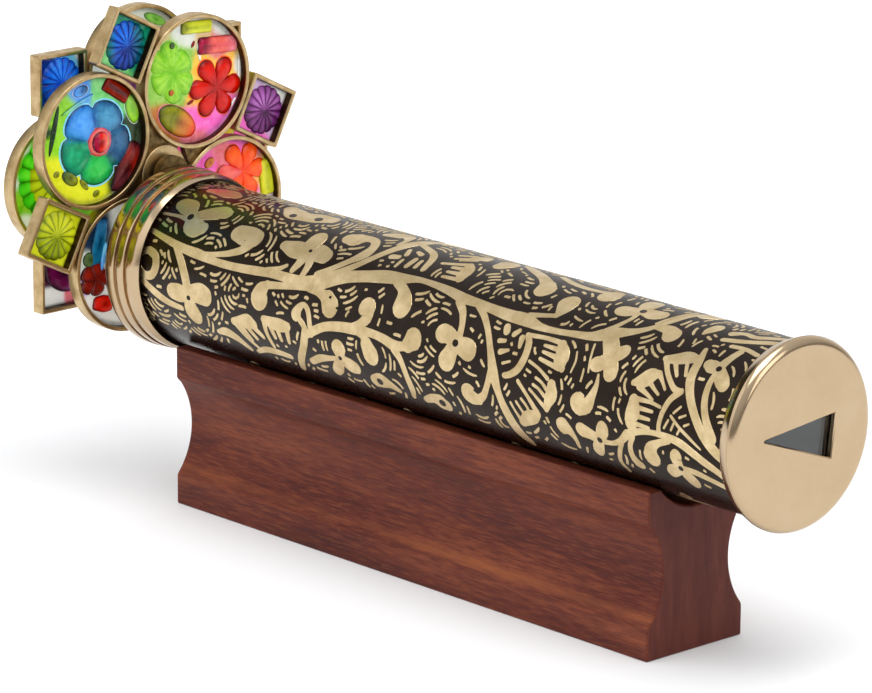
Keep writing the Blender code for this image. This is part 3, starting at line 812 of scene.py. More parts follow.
STEM_STROKES = (
    ((-82.5, 18.6, 1.2), (-80.0, 19.1, 1.4), (-75.0, 20.0, 1.8), (-70.0, 20.7, 2.2),
     (-65.0, 21.0, 2.5), (-60.0, 21.5, 1.9), (-55.0, 21.6, 1.9), (-50.0, 21.4, 2.0),
     (-45.0, 21.0, 2.2), (-40.0, 20.6, 2.2), (-35.0, 20.6, 2.4), (-30.0, 20.6, 3.0),
     (-25.0, 19.7, 4.0), (-21.0, 18.2, 3.4), (-17.0, 16.6, 3.2), (-12.0, 15.3, 3.2), (-7.0, 14.2, 3.6),
     (-2.0, 13.6, 3.0), (3.0, 12.7, 1.6), (8.0, 12.8, 1.7), (13.0, 13.3, 2.2), (18.0, 14.1, 2.6),
     (23.0, 14.3, 2.2), (28.0, 14.7, 2.4), (33.0, 15.0, 2.9), (38.0, 15.0, 3.2), (43.0, 15.7, 1.9),
     (48.0, 15.6, 1.5), (53.0, 15.1, 1.7), (57.0, 14.6, 2.2), (60.0, 13.5, 3.4), (63.0, 12.2, 3.2),
     (65.5, 11.3, 2.4), (68.0, 10.1, 1.8), (70.5, 8.0, 1.6), (72.5, 4.6, 1.8), (73.5, 0.7, 1.8),
     (74.8, -4.9, 1.4)),
    ((-73.0, 20.6, 1.6), (-70.0, 23.4, 2.2), (-67.5, 26.9, 2.6), (-66.3, 29.8, 3.0)),
    ((-50.5, 14.9, 3.6), (-52.0, 17.2, 2.4), (-55.5, 18.9, 1.7), (-60.0, 20.1, 1.3), (-65.0, 20.9, 1.2)),
    ((-82.0, 30.5, 1.6), (-77.5, 32.7, 2.0), (-73.5, 34.0, 1.8), (-69.0, 34.5, 1.4)),
    ((-36.5, 18.0, 1.0), (-38.5, 19.2, 1.3), (-42.0, 20.2, 1.4)),
    ((-40.5, 23.4, 2.0), (-36.0, 22.7, 1.7), (-31.0, 21.8, 1.8), (-27.0, 21.2, 2.0)),
    ((-31.0, 41.7, 2.0), (-30.0, 39.0, 2.2), (-28.0, 35.7, 2.2), (-26.8, 32.8, 2.4),
     (-26.6, 30.3, 1.8), (-28.0, 29.0, 1.6)),
    ((-25.0, 18.7, 1.6), (-20.0, 16.0, 2.0), (-16.0, 12.6, 1.8), (-13.0, 8.8, 2.0), (-10.8, 4.9, 2.6),
     (-9.0, 0.9, 3.2), (-6.5, -3.5, 2.2), (-3.5, -6.9, 1.6)),
    ((-8.5, 0.9, 1.6), (-4.5, 2.5, 1.7), (-1.2, 3.9, 1.8), (0.8, 6.3, 2.0), (1.4, 9.7, 1.6)),
    ((-27.0, 21.2, 2.4), (-23.5, 21.7, 2.2), (-20.5, 22.6, 3.6)),
    ((-26.5, 32.1, 1.8), (-24.0, 30.7, 2.2), (-20.0, 28.8, 2.2), (-15.0, 27.8, 2.4),
     (-10.0, 27.4, 2.6), (-5.0, 27.2, 2.0), (-1.0, 27.6, 2.2), (2.5, 28.4, 2.6), (5.5, 28.0, 2.2),
     (7.0, 27.3, 3.4)),
    ((-6.2, 30.1, 3.4), (-7.5, 28.4, 1.8), (-10.0, 27.8, 1.4)),
    ((2.5, 29.0, 2.2), (4.8, 31.3, 1.8), (6.0, 34.2, 1.8), (6.8, 37.7, 2.0), (6.4, 39.9, 1.4)),
    ((-26.0, 38.5, 1.8), (-22.5, 36.8, 2.0), (-19.0, 36.0, 1.4), (-16.5, 35.5, 1.2)),
    ((17.5, 15.0, 2.2), (20.2, 17.4, 1.9), (21.6, 20.4, 1.7), (21.8, 23.0, 2.2)),
    ((23.5, 14.8, 1.8), (26.5, 16.8, 1.7), (29.5, 19.8, 1.6), (32.0, 23.8, 1.9), (33.8, 28.0, 3.0),
     (35.5, 32.3, 2.2), (37.0, 36.2, 2.8), (38.6, 40.8, 3.2), (40.5, 44.2, 2.4)),
    ((33.2, 26.9, 2.0), (32.3, 30.3, 1.7), (30.8, 33.5, 1.8), (28.6, 35.2, 2.4)),
    ((45.0, 12.1, 1.2), (42.5, 12.7, 1.2), (38.0, 13.7, 1.4)),
    ((33.0, -2.2, 1.6), (38.0, -0.2, 1.8), (43.0, 0.6, 1.6), (47.0, 0.3, 1.6), (49.5, -0.5, 2.4)),
    ((21.0, -3.5, 2.0), (25.0, -1.4, 2.4), (29.0, 0.4, 2.6), (32.0, 2.1, 2.8), (34.4, 3.9, 3.6)),
    ((63.0, 5.1, 1.6), (63.2, 7.4, 1.2), (61.8, 10.3, 1.4), (60.0, 12.5, 1.8)),
    ((40.8, 18.2, 1.4), (42.0, 19.8, 1.9), (42.2, 22.6, 2.0), (41.0, 25.6, 1.9), (38.8, 27.3, 1.6),
     (37.2, 27.8, 1.4)),
    ((65.6, 36.2, 1.8), (68.6, 36.1, 1.2), (71.5, 35.0, 1.6), (74.0, 32.7, 2.2)),
    ((87.3, 10.3, 1.2), (88.0, 13.3, 2.0), (88.4, 17.4, 2.4), (90.2, 21.2, 2.2), (93.0, 25.0, 2.2),
     (96.0, 28.4, 2.4), (99.0, 30.7, 2.6), (102.0, 32.3, 2.4)),
    ((94.0, 15.0, 1.6), (93.8, 17.9, 1.6), (94.4, 21.4, 1.8), (96.0, 24.9, 2.0), (98.5, 28.4, 2.4)),
    ((87.4, 20.8, 1.6), (85.2, 23.0, 1.5), (83.8, 26.2, 1.3), (83.2, 29.0, 1.2), (83.4, 30.7, 1.4)),
    ((74.0, 32.7, 2.0), (77.0, 31.5, 1.6), (81.0, 30.8, 1.3), (85.0, 30.7, 1.6), (89.0, 31.2, 2.0),
     (93.0, 32.7, 2.0), (96.0, 34.0, 2.0), (99.0, 35.2, 1.8), (102.0, 36.7, 1.6)),
    ((86.4, 26.2, 0.7), (89.0, 28.0, 0.8), (92.0, 29.6, 0.8), (95.2, 31.3, 0.5)),
    ((87.0, 25.4, 0.6), (88.6, 23.8, 0.6)),
    ((88.8, 26.0, 0.6), (90.4, 25.2, 0.5)),
    ((90.4, 27.4, 0.6), (91.6, 26.8, 0.5)),
    ((84.8, 29.0, 0.6), (85.8, 27.2, 0.6)),
    ((86.8, 29.0, 0.6), (87.4, 27.6, 0.6)),
    ((88.6, 29.5, 0.6), (89.2, 28.4, 0.6)),
    ((89.4, 37.1, 1.4), (93.0, 37.3, 1.6), (97.0, 38.1, 1.4), (101.0, 39.0, 1.4)),
    ((75.6, 32.9, 1.4), (74.4, 35.2, 1.4), (74.2, 37.7, 1.8), (75.0, 39.4, 2.6), (76.0, 39.9, 2.2)),
    ((72.0, 35.2, 1.2), (70.6, 37.7, 1.3), (69.6, 40.8, 1.2), (70.5, 43.4, 1.0)),
    ((-45.5, 40.8, 1.2), (-42.0, 39.3, 1.8), (-37.5, 39.0, 1.8), (-33.5, 39.2, 1.4)),
    ((-57.5, 38.1, 1.4), (-54.5, 37.5, 2.6), (-51.0, 38.6, 2.2), (-48.0, 40.7, 1.4)),
    ((70.0, 6.8, 0.8), (71.8, 2.3, 0.9), (72.6, -2.8, 0.9)),
    ((88.6, 6.1, 1.4), (92.0, 5.3, 1.6), (95.0, 4.4, 1.6), (98.0, 3.1, 2.0), (101.0, 1.8, 1.8)),
    ((88.6, 3.1, 2.2), (91.0, 1.8, 1.6), (94.0, 2.1, 1.8), (97.0, 0.5, 2.0), (100.0, -1.6, 1.8)),
    ((92.2, 7.4, 1.2), (96.0, 7.2, 1.2), (100.0, 8.0, 1.2)),
    ((59.6, 16.2, 0.6), (60.2, 19.0, 0.6), (61.0, 22.2, 0.5)),
    ((56.0, 18.8, 0.5), (56.6, 20.8, 0.6), (56.2, 23.2, 0.5)),
)
BUD_STROKES = (
    ((-56.0, 13.5, 4.2), (-53.0, 13.7, 5.0), (-50.6, 13.9, 4.6)),
    ((-81.0, 23.2, 1.8), (-78.8, 24.0, 2.0), (-77.9, 26.2, 2.2), (-78.9, 28.4, 2.0), (-81.2, 29.0, 1.8),
     (-83.4, 28.0, 1.8),
     (-84.2, 25.8, 1.8), (-83.2, 23.8, 1.6), (-81.0, 23.2, 1.6)),
    ((-42.0, 26.6, 5.2), (-41.6, 24.8, 4.0), (-40.4, 23.4, 2.0)),
    ((-29.4, 27.8, 3.0), (-28.8, 26.4, 2.0), (-27.2, 25.3, 1.2), (-25.6, 26.6, 1.3),
     (-24.8, 29.2, 1.4), (-24.4, 31.3, 1.6)),
    ((-25.4, 6.6, 3.6), (-23.4, 6.2, 4.6), (-21.0, 5.0, 2.4), (-18.5, 5.3, 2.0), (-17.0, 7.4, 2.2),
     (-17.2, 10.1, 2.8),
     (-19.5, 12.8, 1.6), (-23.0, 15.8, 1.4), (-26.5, 18.0, 1.4)),
    ((-19.5, 1.3, 1.4), (-17.0, -0.4, 3.6), (-14.5, -1.0, 3.2), (-12.5, 1.3, 1.4), (-12.2, 4.0, 1.2)),
    ((-20.5, 22.6, 3.6), (-19.2, 24.0, 4.8)),
    ((-7.6, 22.4, 4.8), (-7.2, 24.4, 3.0), (-9.0, 26.0, 1.8), (-12.0, 27.4, 1.6)),
    ((2.3, 19.6, 5.0), (1.6, 17.8, 4.0), (0.2, 16.0, 2.4), (-2.5, 14.6, 2.2)),
    ((7.0, 27.3, 3.4), (8.2, 26.0, 4.9)),
    ((-5.0, 32.0, 4.6), (-6.2, 30.1, 3.4)),
    ((-5.0, 38.6, 3.2), (-3.0, 38.1, 3.6), (-0.5, 38.5, 2.2), (2.0, 39.6, 1.2)),
    ((17.6, -0.7, 4.8), (17.3, 1.2, 3.4)),
    ((34.4, 3.9, 3.6), (35.6, 5.7, 4.9)),
    ((28.6, 35.2, 2.4), (26.8, 35.0, 3.6), (26.0, 34.4, 4.4)),
    ((10.5, 39.8, 1.6), (13.0, 38.8, 2.4), (15.5, 39.2, 4.0), (16.8, 39.6, 3.2)),
    ((45.0, 8.1, 5.0), (45.2, 10.1, 3.6), (45.0, 12.1, 1.2)),
    ((51.0, 1.6, 5.0), (50.5, -1.0, 3.4)),
    ((60.0, 29.2, 4.8), (62.2, 29.0, 3.2), (63.4, 26.8, 2.0), (64.2, 24.4, 1.2), (64.0, 22.2, 0.6)),
    ((54.7, 35.5, 4.0), (56.2, 36.2, 2.4), (57.4, 38.1, 1.2), (57.6, 39.9, 1.0)),
    ((71.6, 7.8, 1.6), (74.2, 7.6, 2.8), (76.2, 8.8, 4.2)),
    ((76.0, -1.4, 2.6), (77.5, -3.4, 3.4)),
    ((83.6, 2.5, 2.8), (83.0, 4.6, 2.2), (82.8, 5.9, 0.8)),
    ((80.4, 36.4, 4.4), (80.8, 34.4, 3.0), (82.6, 32.9, 1.6), (86.0, 31.5, 1.4)),
    ((-77.0, 2.9, 2.0), (-74.0, 2.1, 3.6), (-71.0, 2.1, 4.2), (-68.5, 2.4, 2.4)),
)
PETAL_STROKES = (
    ((-73.5, 12.5, 2.5), (-76.0, 10.6, 4.5), (-78.5, 10.1, 3.8)),
    ((-73.0, 12.8, 2.2), (-69.0, 10.8, 3.6), (-65.8, 9.5, 4.2), (-64.2, 9.5, 3.0)),
    ((-73.0, 13.3, 2.4), (-71.5, 15.0, 4.2), (-69.0, 15.3, 4.4), (-67.6, 15.0, 3.0)),
    ((-74.0, 13.8, 1.2), (-77.0, 13.6, 0.8), (-82.0, 13.9, 0.7)),
    ((-66.0, 30.8, 3.0), (-69.5, 30.9, 4.0), (-71.6, 30.9, 3.6)),
    ((-66.0, 30.3, 3.4), (-62.5, 29.7, 4.6), (-60.5, 29.9, 4.4)),
    ((-66.0, 31.8, 3.0), (-65.5, 34.2, 4.6), (-64.7, 35.2, 4.4)),
    ((-51.0, 1.4, 3.2), (-48.0, 2.8, 4.8), (-44.5, 3.0, 4.0), (-41.0, 2.0, 5.0), (-37.5, 1.2, 3.6)),
    ((-33.6, 12.8, 4.0), (-33.2, 9.6, 4.4)),
    ((-33.0, 13.6, 4.0), (-37.0, 13.6, 4.2), (-40.6, 13.4, 2.4)),
    ((-33.0, 12.8, 4.0), (-29.6, 13.0, 4.3), (-27.2, 13.4, 3.6)),
    ((-33.0, 14.0, 3.6), (-33.2, 16.4, 2.3), (-34.2, 18.6, 1.4)),
    ((-31.0, 14.4, 2.3), (-30.2, 16.8, 1.9), (-30.6, 19.2, 1.4)),
    ((-15.5, 34.8, 2.6), (-15.6, 33.1, 4.2)),
    ((-15.2, 35.4, 2.4), (-12.6, 36.4, 3.4), (-11.0, 36.6, 3.0)),
    ((-15.6, 35.7, 2.2), (-17.0, 37.9, 3.0), (-18.0, 39.0, 2.6)),
    ((21.0, 23.8, 3.0), (18.5, 22.8, 3.6), (16.9, 22.8, 4.0)),
    ((21.2, 24.2, 3.0), (24.0, 24.5, 4.2), (25.3, 24.8, 4.5)),
    ((20.8, 24.9, 3.2), (19.8, 27.4, 4.2), (19.2, 28.3, 4.4)),
    ((63.0, 4.2, 2.8), (60.5, 5.3, 3.6), (59.0, 5.5, 3.6)),
    ((63.2, 3.6, 2.8), (62.2, 0.9, 4.0), (61.8, -0.9, 4.0)),
    ((63.8, 3.9, 2.8), (66.5, 4.0, 3.8), (68.0, 3.6, 3.6)),
    ((62.5, 13.8, 3.4), (64.5, 16.2, 3.8), (65.5, 18.0, 4.0)),
    ((65.5, 17.8, 3.2), (67.4, 16.4, 3.2), (68.0, 15.9, 3.0)),
    ((65.8, 18.4, 3.2), (66.8, 20.4, 3.6), (67.0, 21.0, 3.6)),
    ((65.0, 18.4, 3.0), (63.3, 19.8, 3.2), (62.4, 20.1, 3.2)),
    ((65.0, 36.1, 2.4), (62.5, 35.4, 2.6), (60.2, 35.0, 3.2)),
    ((65.3, 35.8, 2.4), (66.4, 33.9, 3.2), (66.7, 33.1, 3.0)),
    ((65.0, 36.6, 2.4), (64.0, 38.6, 3.0), (63.7, 39.2, 2.8)),
    ((93.8, 13.9, 2.6), (91.8, 13.7, 3.0), (90.9, 13.5, 2.4)),
    ((94.4, 14.3, 2.6), (96.4, 16.2, 3.2), (97.4, 17.1, 2.8)),
    ((94.0, 13.3, 2.2), (94.8, 10.7, 1.8), (95.6, 8.4, 1.6)),
    ((88.3, 36.9, 2.4), (87.6, 35.2, 3.0), (87.9, 34.4, 2.8)),
    ((88.2, 37.5, 2.4), (86.0, 38.5, 3.0), (85.5, 38.9, 2.8)),
    ((88.8, 37.7, 2.4), (90.6, 39.6, 3.2), (91.2, 40.2, 3.0)),
)
COMB_STROKES = (
    ((-50.8, 33.9, 1.6), (-48.5, 33.5, 2.4), (-45.8, 32.9, 3.0), (-44.0, 33.3, 2.0)),
    ((-50.4, 34.2, 1.2), (-47.5, 37.1, 0.9), (-44.0, 39.8, 0.7)),
    ((-48.4, 34.4, 1.1), (-45.8, 37.5, 0.8)),
    ((-46.4, 34.2, 1.1), (-43.8, 36.7, 0.8)),
    ((-44.4, 33.7, 1.2), (-41.2, 35.8, 0.8)),
    ((-40.2, 31.2, 1.6), (-37.5, 31.5, 2.4), (-34.5, 31.5, 2.6), (-32.4, 31.3, 1.8)),
    ((-40.2, 31.3, 1.4), (-39.8, 34.2, 1.0), (-38.4, 37.5, 0.9)),
    ((-38.2, 32.3, 1.2), (-37.0, 34.8, 0.9)),
    ((-36.0, 32.3, 1.2), (-35.0, 35.0, 0.9)),
    ((-32.6, 31.3, 1.4), (-32.4, 35.0, 0.9)),
    ((11.0, 4.6, 1.6), (12.3, 6.3, 2.6), (12.5, 8.2, 2.8), (13.0, 9.7, 1.6)),
    ((11.0, 4.4, 1.2), (7.5, 5.5, 0.8), (4.2, 6.4, 0.7)),
    ((12.0, 6.3, 1.2), (8.0, 6.8, 0.8)),
    ((12.0, 8.2, 1.2), (8.0, 8.5, 0.7)),
    ((12.5, 9.9, 1.0), (8.0, 10.2, 0.7)),
    ((10.8, -0.4, 2.8), (9.0, 0.9, 2.0)),
    ((9.0, 1.6, 1.0), (5.4, 3.5, 0.7)),
    ((8.2, -0.2, 1.0), (4.8, 1.6, 0.7)),
    ((10.4, 1.8, 1.0), (7.2, 3.6, 0.7)),
    ((51.2, 18.3, 2.0), (52.2, 20.0, 3.2), (52.6, 21.8, 3.2), (53.4, 23.0, 1.4)),
    ((51.0, 17.8, 1.0), (46.0, 17.7, 0.8), (41.0, 18.1, 0.9)),
    ((51.0, 19.4, 1.0), (46.6, 19.3, 0.6)),
    ((51.0, 21.1, 1.0), (46.8, 20.7, 0.6)),
    ((52.5, 23.2, 1.0), (46.6, 22.3, 0.7)),
    ((51.4, 27.0, 2.0), (51.6, 28.8, 2.8), (50.6, 30.9, 2.0), (50.0, 32.5, 1.2)),
    ((50.0, 25.9, 0.8), (47.0, 24.4, 0.6), (43.8, 23.4, 0.6)),
    ((50.0, 28.2, 0.8), (48.4, 27.0, 0.6), (46.6, 26.4, 0.6)),
    ((49.4, 29.7, 0.8), (47.8, 28.6, 0.6), (46.0, 28.0, 0.6)),
    ((49.6, 32.3, 0.9), (46.8, 30.3, 0.6), (45.0, 29.2, 0.6)),
    ((41.6, 37.7, 1.8), (43.6, 36.2, 2.8), (45.8, 35.2, 2.6), (47.0, 34.4, 1.6)),
    ((41.2, 37.1, 1.0), (40.0, 35.2, 0.6), (39.0, 33.5, 0.6)),
    ((43.0, 35.8, 0.9), (42.0, 34.4, 0.6), (40.8, 32.9, 0.6)),
    ((44.6, 34.8, 0.9), (43.8, 33.1, 0.6), (42.4, 31.9, 0.6)),
    ((47.0, 34.0, 1.3), (44.4, 30.9, 0.8), (41.4, 28.2, 0.8)),
    ((79.5, 14.8, 1.2), (82.0, 14.3, 2.2), (84.6, 13.3, 2.6), (86.8, 13.1, 1.8)),
    ((80.0, 15.2, 1.2), (82.0, 17.8, 1.0), (85.0, 20.4, 1.1), (87.0, 21.0, 1.4)),
    ((82.6, 15.2, 1.0), (84.6, 17.8, 0.7)),
    ((85.4, 14.3, 0.8), (86.8, 17.2, 0.7)),
    ((74.2, 21.6, 1.2), (76.5, 20.6, 2.8), (78.2, 19.2, 2.8), (79.6, 18.6, 1.6)),
    ((80.0, 18.4, 1.2), (81.6, 19.8, 0.7), (83.0, 21.2, 0.6)),
    ((78.6, 20.8, 1.0), (80.2, 21.8, 0.7), (81.6, 22.6, 0.6)),
    ((76.0, 22.2, 1.2), (78.6, 23.2, 0.8), (80.4, 24.0, 0.6)),
    ((75.4, 25.2, 2.2), (75.6, 27.4, 3.2), (75.0, 29.5, 2.6), (75.8, 31.3, 2.0)),
    ((76.0, 24.7, 1.0), (80.0, 24.6, 0.7), (83.0, 25.0, 0.6)),
    ((77.0, 26.4, 0.9), (81.0, 26.4, 0.6)),
    ((77.0, 28.2, 0.9), (80.4, 28.2, 0.6)),
    ((77.0, 29.9, 0.9), (80.4, 30.0, 0.6)),
)
CHIP_STROKES = (
    ((-7.6, 5.1, 1.0), (-6.8, 6.8, 1.2)),
    ((-5.0, 4.9, 0.9), (-3.4, 5.5, 1.2)),
    ((-9.8, 8.6, 1.4), (-8.0, 8.2, 1.2)),
    ((-6.2, 8.8, 0.8), (-6.4, 10.9, 0.8)),
    ((-3.2, 7.6, 1.2), (-3.6, 10.1, 1.2)),
    ((-1.2, 7.6, 0.9), (-1.2, 9.7, 1.0)),
    ((34.2, 17.8, 1.6), (34.6, 18.6, 1.6)),
    ((37.0, 18.8, 1.2), (38.0, 17.8, 1.0)),
    ((33.6, 21.0, 1.0), (35.2, 20.7, 0.8)),
    ((34.8, 23.2, 1.2), (37.0, 22.4, 0.6)),
    ((36.2, 25.4, 0.6), (38.2, 24.6, 0.5)),
    ((39.6, 19.2, 1.4), (39.8, 21.0, 0.9)),
)
DARK_DOTS = (
    (-73.4, 13.0, 0.90), (-66.1, 31.4, 0.60), (-47.4, 4.0, 0.90), (-32.3, 13.1, 0.45),
    (-15.5, 35.2, 0.55), (21.2, 24.1, 0.85), (63.4, 4.0, 0.80), (65.2, 36.2, 0.70), (94.0, 13.9, 0.70),
    (88.5, 37.3, 0.65), (-40.3, 2.6, 1.00), (-19.7, 22.1, 0.35), (-16.8, 24.0, 0.30),
    (-3.8, 38.5, 0.90), (15.8, 39.3, 0.95),
)


# The stand


@dataclass
class Stand:
    """The wooden stand: a plinth, a cove on each long side and a grooved flange."""

    plinth_height: float = 7.0 * MM
    plinth_step: float = 1.6 * MM
    flange_height: float = 7.3 * MM
    flange_step: float = 1.2 * MM
    step_depth: float = 1.2 * MM
    cove_depth: float = 3.1 * MM
    groove_radius: float = 13.5 * MM
    groove_half_width: float = 10.8 * MM
    ease: float = 0.5 * MM
    end_ease: float = 0.35 * MM
    cove_points: int = 26
    groove_points: int = 30

    def outline(self, half: float, height: float) -> list[Flat]:
        """The end profile as (y, z), anticlockwise.

        Args:
            half: Half the stand's width.
            height: Its height.

        Returns:
            The profile with eased corners.
        """
        edge = half - self.step_depth
        low = self.plinth_height + self.plinth_step
        high = height - self.flange_height - self.flange_step
        chord = (high - low) / 2
        radius = (chord**2 + self.cove_depth**2) / (2 * self.cove_depth)
        sweep = math.asin(chord / radius)
        middle = (edge - self.cove_depth + radius, (low + high) / 2)
        right = [(half, 0.0), (half, self.plinth_height)]
        right += arc(middle, radius, math.pi + sweep, math.pi - sweep, self.cove_points)
        right += [(half, height - self.flange_height), (half, height)]
        rise = math.sqrt(self.groove_radius**2 - self.groove_half_width**2)
        dip = math.asin(self.groove_half_width / self.groove_radius)
        ends = (dip - math.pi / 2, -dip - math.pi / 2)
        groove = arc((0.0, height + rise), self.groove_radius, *ends, self.groove_points)
        left = [(-y, z) for y, z in reversed(right)]
        return eased(right + groove + left, self.ease)

    def build(self) -> None:
        """Builds and dresses the stand."""
        low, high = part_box("wooden_stand")
        outline = self.outline((high[1] - low[1]) / 2, high[2] - low[2])
        smaller = inset(outline, self.end_ease)
        places = (low[0], low[0] + self.end_ease, high[0] - self.end_ease, high[0])
        bm = bmesh.new()
        shapes = zip(places, (smaller, outline, outline, smaller))
        loft(bm, [[Vector((x, y, z)) for y, z in shape] for x, shape in shapes])
        dress_piece(store("stand_wood", bm), [Rosewood()], Body.STAND, ("wooden_stand",), 30.0)


# The tube and its etched scroll


@dataclass(frozen=True)
class Stroke:
    """A tapered stroke of the scroll, laid out flat: length along X and arc length round the tube."""

    points: tuple[Place, ...]
    lift: float = 0.0


def round_end(tip: Place, inner: Place) -> list[Place]:
    """Lays the points of the round end beyond a stroke's tip.

    Args:
        tip: The tip (x, s, half width).
        inner: The point next to it.

    Returns:
        The points, outermost first.
    """
    away = np.array((tip[0] - inner[0], tip[1] - inner[1]))
    away = away / max(float(np.hypot(*away)), 1e-6)
    made = []
    for angle in END_ANGLES:
        reach = tip[2] * math.sin(math.radians(angle))
        half = max(tip[2] * math.cos(math.radians(angle)), LEAST_HALF)
        made.append((tip[0] + away[0] * reach, tip[1] + away[1] * reach, half))
    return made


def smooth_path(stroke: Stroke, pitch: float) -> list[Place]:
    """Runs a smooth curve through a stroke's points, with round ends.

    Args:
        stroke: The stroke, in millimetres, each point (x, s, full width).
        pitch: Spacing of the points made.

    Returns:
        Points (x, s, half width) in millimetres.
    """
    knots = [np.array(point, float) for point in stroke.points]
    if len(knots) == 1:
        knots = [knots[0] - np.array((DOT_HALF, 0, 0)), knots[0] + np.array((DOT_HALF, 0, 0))]
    before, after = 2 * knots[0] - knots[1], 2 * knots[-1] - knots[-2]
    padded = [before, *knots, after]
    core: list[np.ndarray] = []
    for index in range(1, len(padded) - 2):
        p0, p1, p2, p3 = padded[index - 1 : index + 3]
        steps = max(2, int(math.ceil(float(np.hypot(*(p2 - p1)[:2])) / pitch)))
        for step in range(steps):
            t = step / steps
            bend = (2 * p0 - 5 * p1 + 4 * p2 - p3) * t**2
            core.append(0.5 * (2 * p1 + (p2 - p0) * t + bend + (3 * p1 - p0 - 3 * p2 + p3) * t**3))
    core.append(knots[-1])
    path = [(p[0], p[1], max(p[2], LEAST_WIDTH) / 2) for p in core]
    return round_end(path[0], path[1]) + path + round_end(path[-1], path[-2])[::-1]


def plain_path(stroke: Stroke) -> list[Place]:
    """A short mark's own points, narrowed at both ends.

    Args:
        stroke: The mark.

    Returns:
        Points (x, s, half width) in millimetres.
    """
    points = [(x, s, width / 2) for x, s, width in stroke.points]
    for end in (0, -1):
        points[end] = (*points[end][:2], points[end][2] * 0.5)
    return points


class Scroll:
    """The vine scroll that the etching leaves standing on the tube."""

    def __init__(self, tube_radius: float, x_range: Flat, seed: int = 11) -> None:
        """Lays out the strokes, both the front and the back of the tube.

        Args:
            tube_radius: Outer radius in millimetres.
            x_range: Ends of the etched length in millimetres.
            seed: Seed for the background marks.
        """
        self.turn = 2 * math.pi * tube_radius
        self.x_range = x_range
        self.random = random.Random(seed)
        self.stems = self.both_sides(STEM_STROKES, 0.0) + self.borders()
        self.blossoms = (
            self.both_sides(BUD_STROKES, 0.004, 1.13)
            + self.both_sides(PETAL_STROKES, 0.008, 1.13)
            + self.both_sides(COMB_STROKES, 0.006, 1.28)
            + self.both_sides(CHIP_STROKES, 0.002, 1.2)
        )
        self.dots = self.both_sides(DARK_DOTS, 0.03)

    def both_sides(self, table: tuple, lift: float, swell: float = 1.0) -> list[Stroke]:
        """Makes strokes of a table and a half-turned copy for the tube's hidden side.

        Args:
            table: Rows of points, or (x, s, radius) dots.
            lift: Height above the common relief in millimetres, so that no two faces meet flat.
            swell: Factor on the widths.

        Returns:
            The strokes.
        """
        made = []
        middle_x = sum(self.x_range) / 2
        for index, row in enumerate(table):
            if isinstance(row[0], float):
                row = ((row[0], row[1], row[2] * 2),)
            step = lift + 0.0009 * (index % 5)
            row = [(x, s, width * swell) for x, s, width in row]
            made.append(Stroke(tuple(row), step))
            back = tuple((2 * middle_x - x, BACK_TURN - s, width) for x, s, width in row)
            made.append(Stroke(back, step))
        return made

    def borders(self) -> list[Stroke]:
        """Lays two waving stems with leaves that fill the seams between the front and the back.

        Returns:
            The stems and leaves.
        """
        made = []
        sway, wave = SEAM_WAVE
        for number, middle in enumerate(SEAM_LINES):
            stem = []
            x = self.x_range[0]
            while x <= self.x_range[1] - 1:
                stem.append((x, middle + sway * math.sin(x / wave + number), 1.5))
                x += 3.0
            made.append(Stroke(tuple(stem), 0.0002))
            x = self.x_range[0] + 5
            side = 1
            while x < self.x_range[1] - 5:
                s = middle + sway * math.sin(x / wave + number)
                leaf = ((x, s, 1.0), (x + 3.0, s + side * 1.6, 1.6), (x + 5.2, s + side * 3.4, 3.2))
                made.append(Stroke(leaf, 0.003))
                side = -side
                x += LEAF_SPACING
        return made

    def field(self, cell: float, reach: float) -> np.ndarray:
        """Distance from every cell of the flat layout to the nearest stroke.

        Args:
            cell: Cell size in millimetres.
            reach: Distances past this are left at it.

        Returns:
            Rows along X, columns round the tube.
        """
        across = int((self.x_range[1] - self.x_range[0]) / cell) + 1
        round_cells = int(self.turn / cell)
        found = np.full((across, round_cells), reach)
        window = int(reach / cell)
        for stroke in self.stems + self.blossoms:
            for x, s, half in smooth_path(stroke, 0.5):
                extent = window + int(half / cell) + 1
                column = int((s % self.turn) / cell)
                row = int((x - self.x_range[0]) / cell)
                rows = np.arange(max(0, row - extent), min(across, row + extent + 1))
                if rows.size == 0:
                    continue
                columns = np.arange(column - extent, column + extent + 1)
                dx = rows * cell + self.x_range[0] - x
                ds = columns * cell - (s % self.turn)
                away = np.sqrt(dx[:, None] ** 2 + ds[None, :] ** 2) - half
                patch = np.ix_(rows, columns % round_cells)
                found[patch] = np.minimum(found[patch], away)
        return found

    def stack_places(self) -> np.ndarray:
        """Scatters the middles of the stacks of marks, none closer than the spacing.

        Returns:
            Rows of (x, s).
        """
        places = np.zeros((0, 2))
        for _ in range(STACK_TRIES):
            spot = np.array((self.random.uniform(*self.x_range), self.random.uniform(0.0, self.turn)))
            away = places - spot
            away[:, 1] = (away[:, 1] + self.turn / 2) % self.turn - self.turn / 2
            # No stacks in the strip that is left bare as painted shade.
            in_shade_strip = PAINTED_SHADE_STRIP[0] < spot[1] < PAINTED_SHADE_STRIP[1]
            if not in_shade_strip and (not len(places) or np.hypot(*away.T).min() > STACK_SPACING):
                places = np.vstack((places, spot))
        return places

    def dashes(self) -> list[Stroke]:
        """Lays short curved marks in little stacks that bend round the nearest stroke.

        Returns:
            The marks.
        """
        found = self.field(FIELD_CELL, FIELD_REACH)
        slope_x, slope_s = np.gradient(found, FIELD_CELL)
        rows, columns = found.shape
        places = self.stack_places()
        tree = KDTree(len(places) * 3)
        for turn in (-1, 0, 1):
            for number, (x, s) in enumerate(places):
                tree.insert((x, s + turn * self.turn, 0.0), number)
        tree.balance()

        def at(grid: np.ndarray, x: float, s: float) -> float:
            """The value of a grid at a flat point."""
            row = min(max(int(round((x - self.x_range[0]) / FIELD_CELL)), 0), rows - 1)
            return float(grid[row, int(round((s % self.turn) / FIELD_CELL)) % columns])

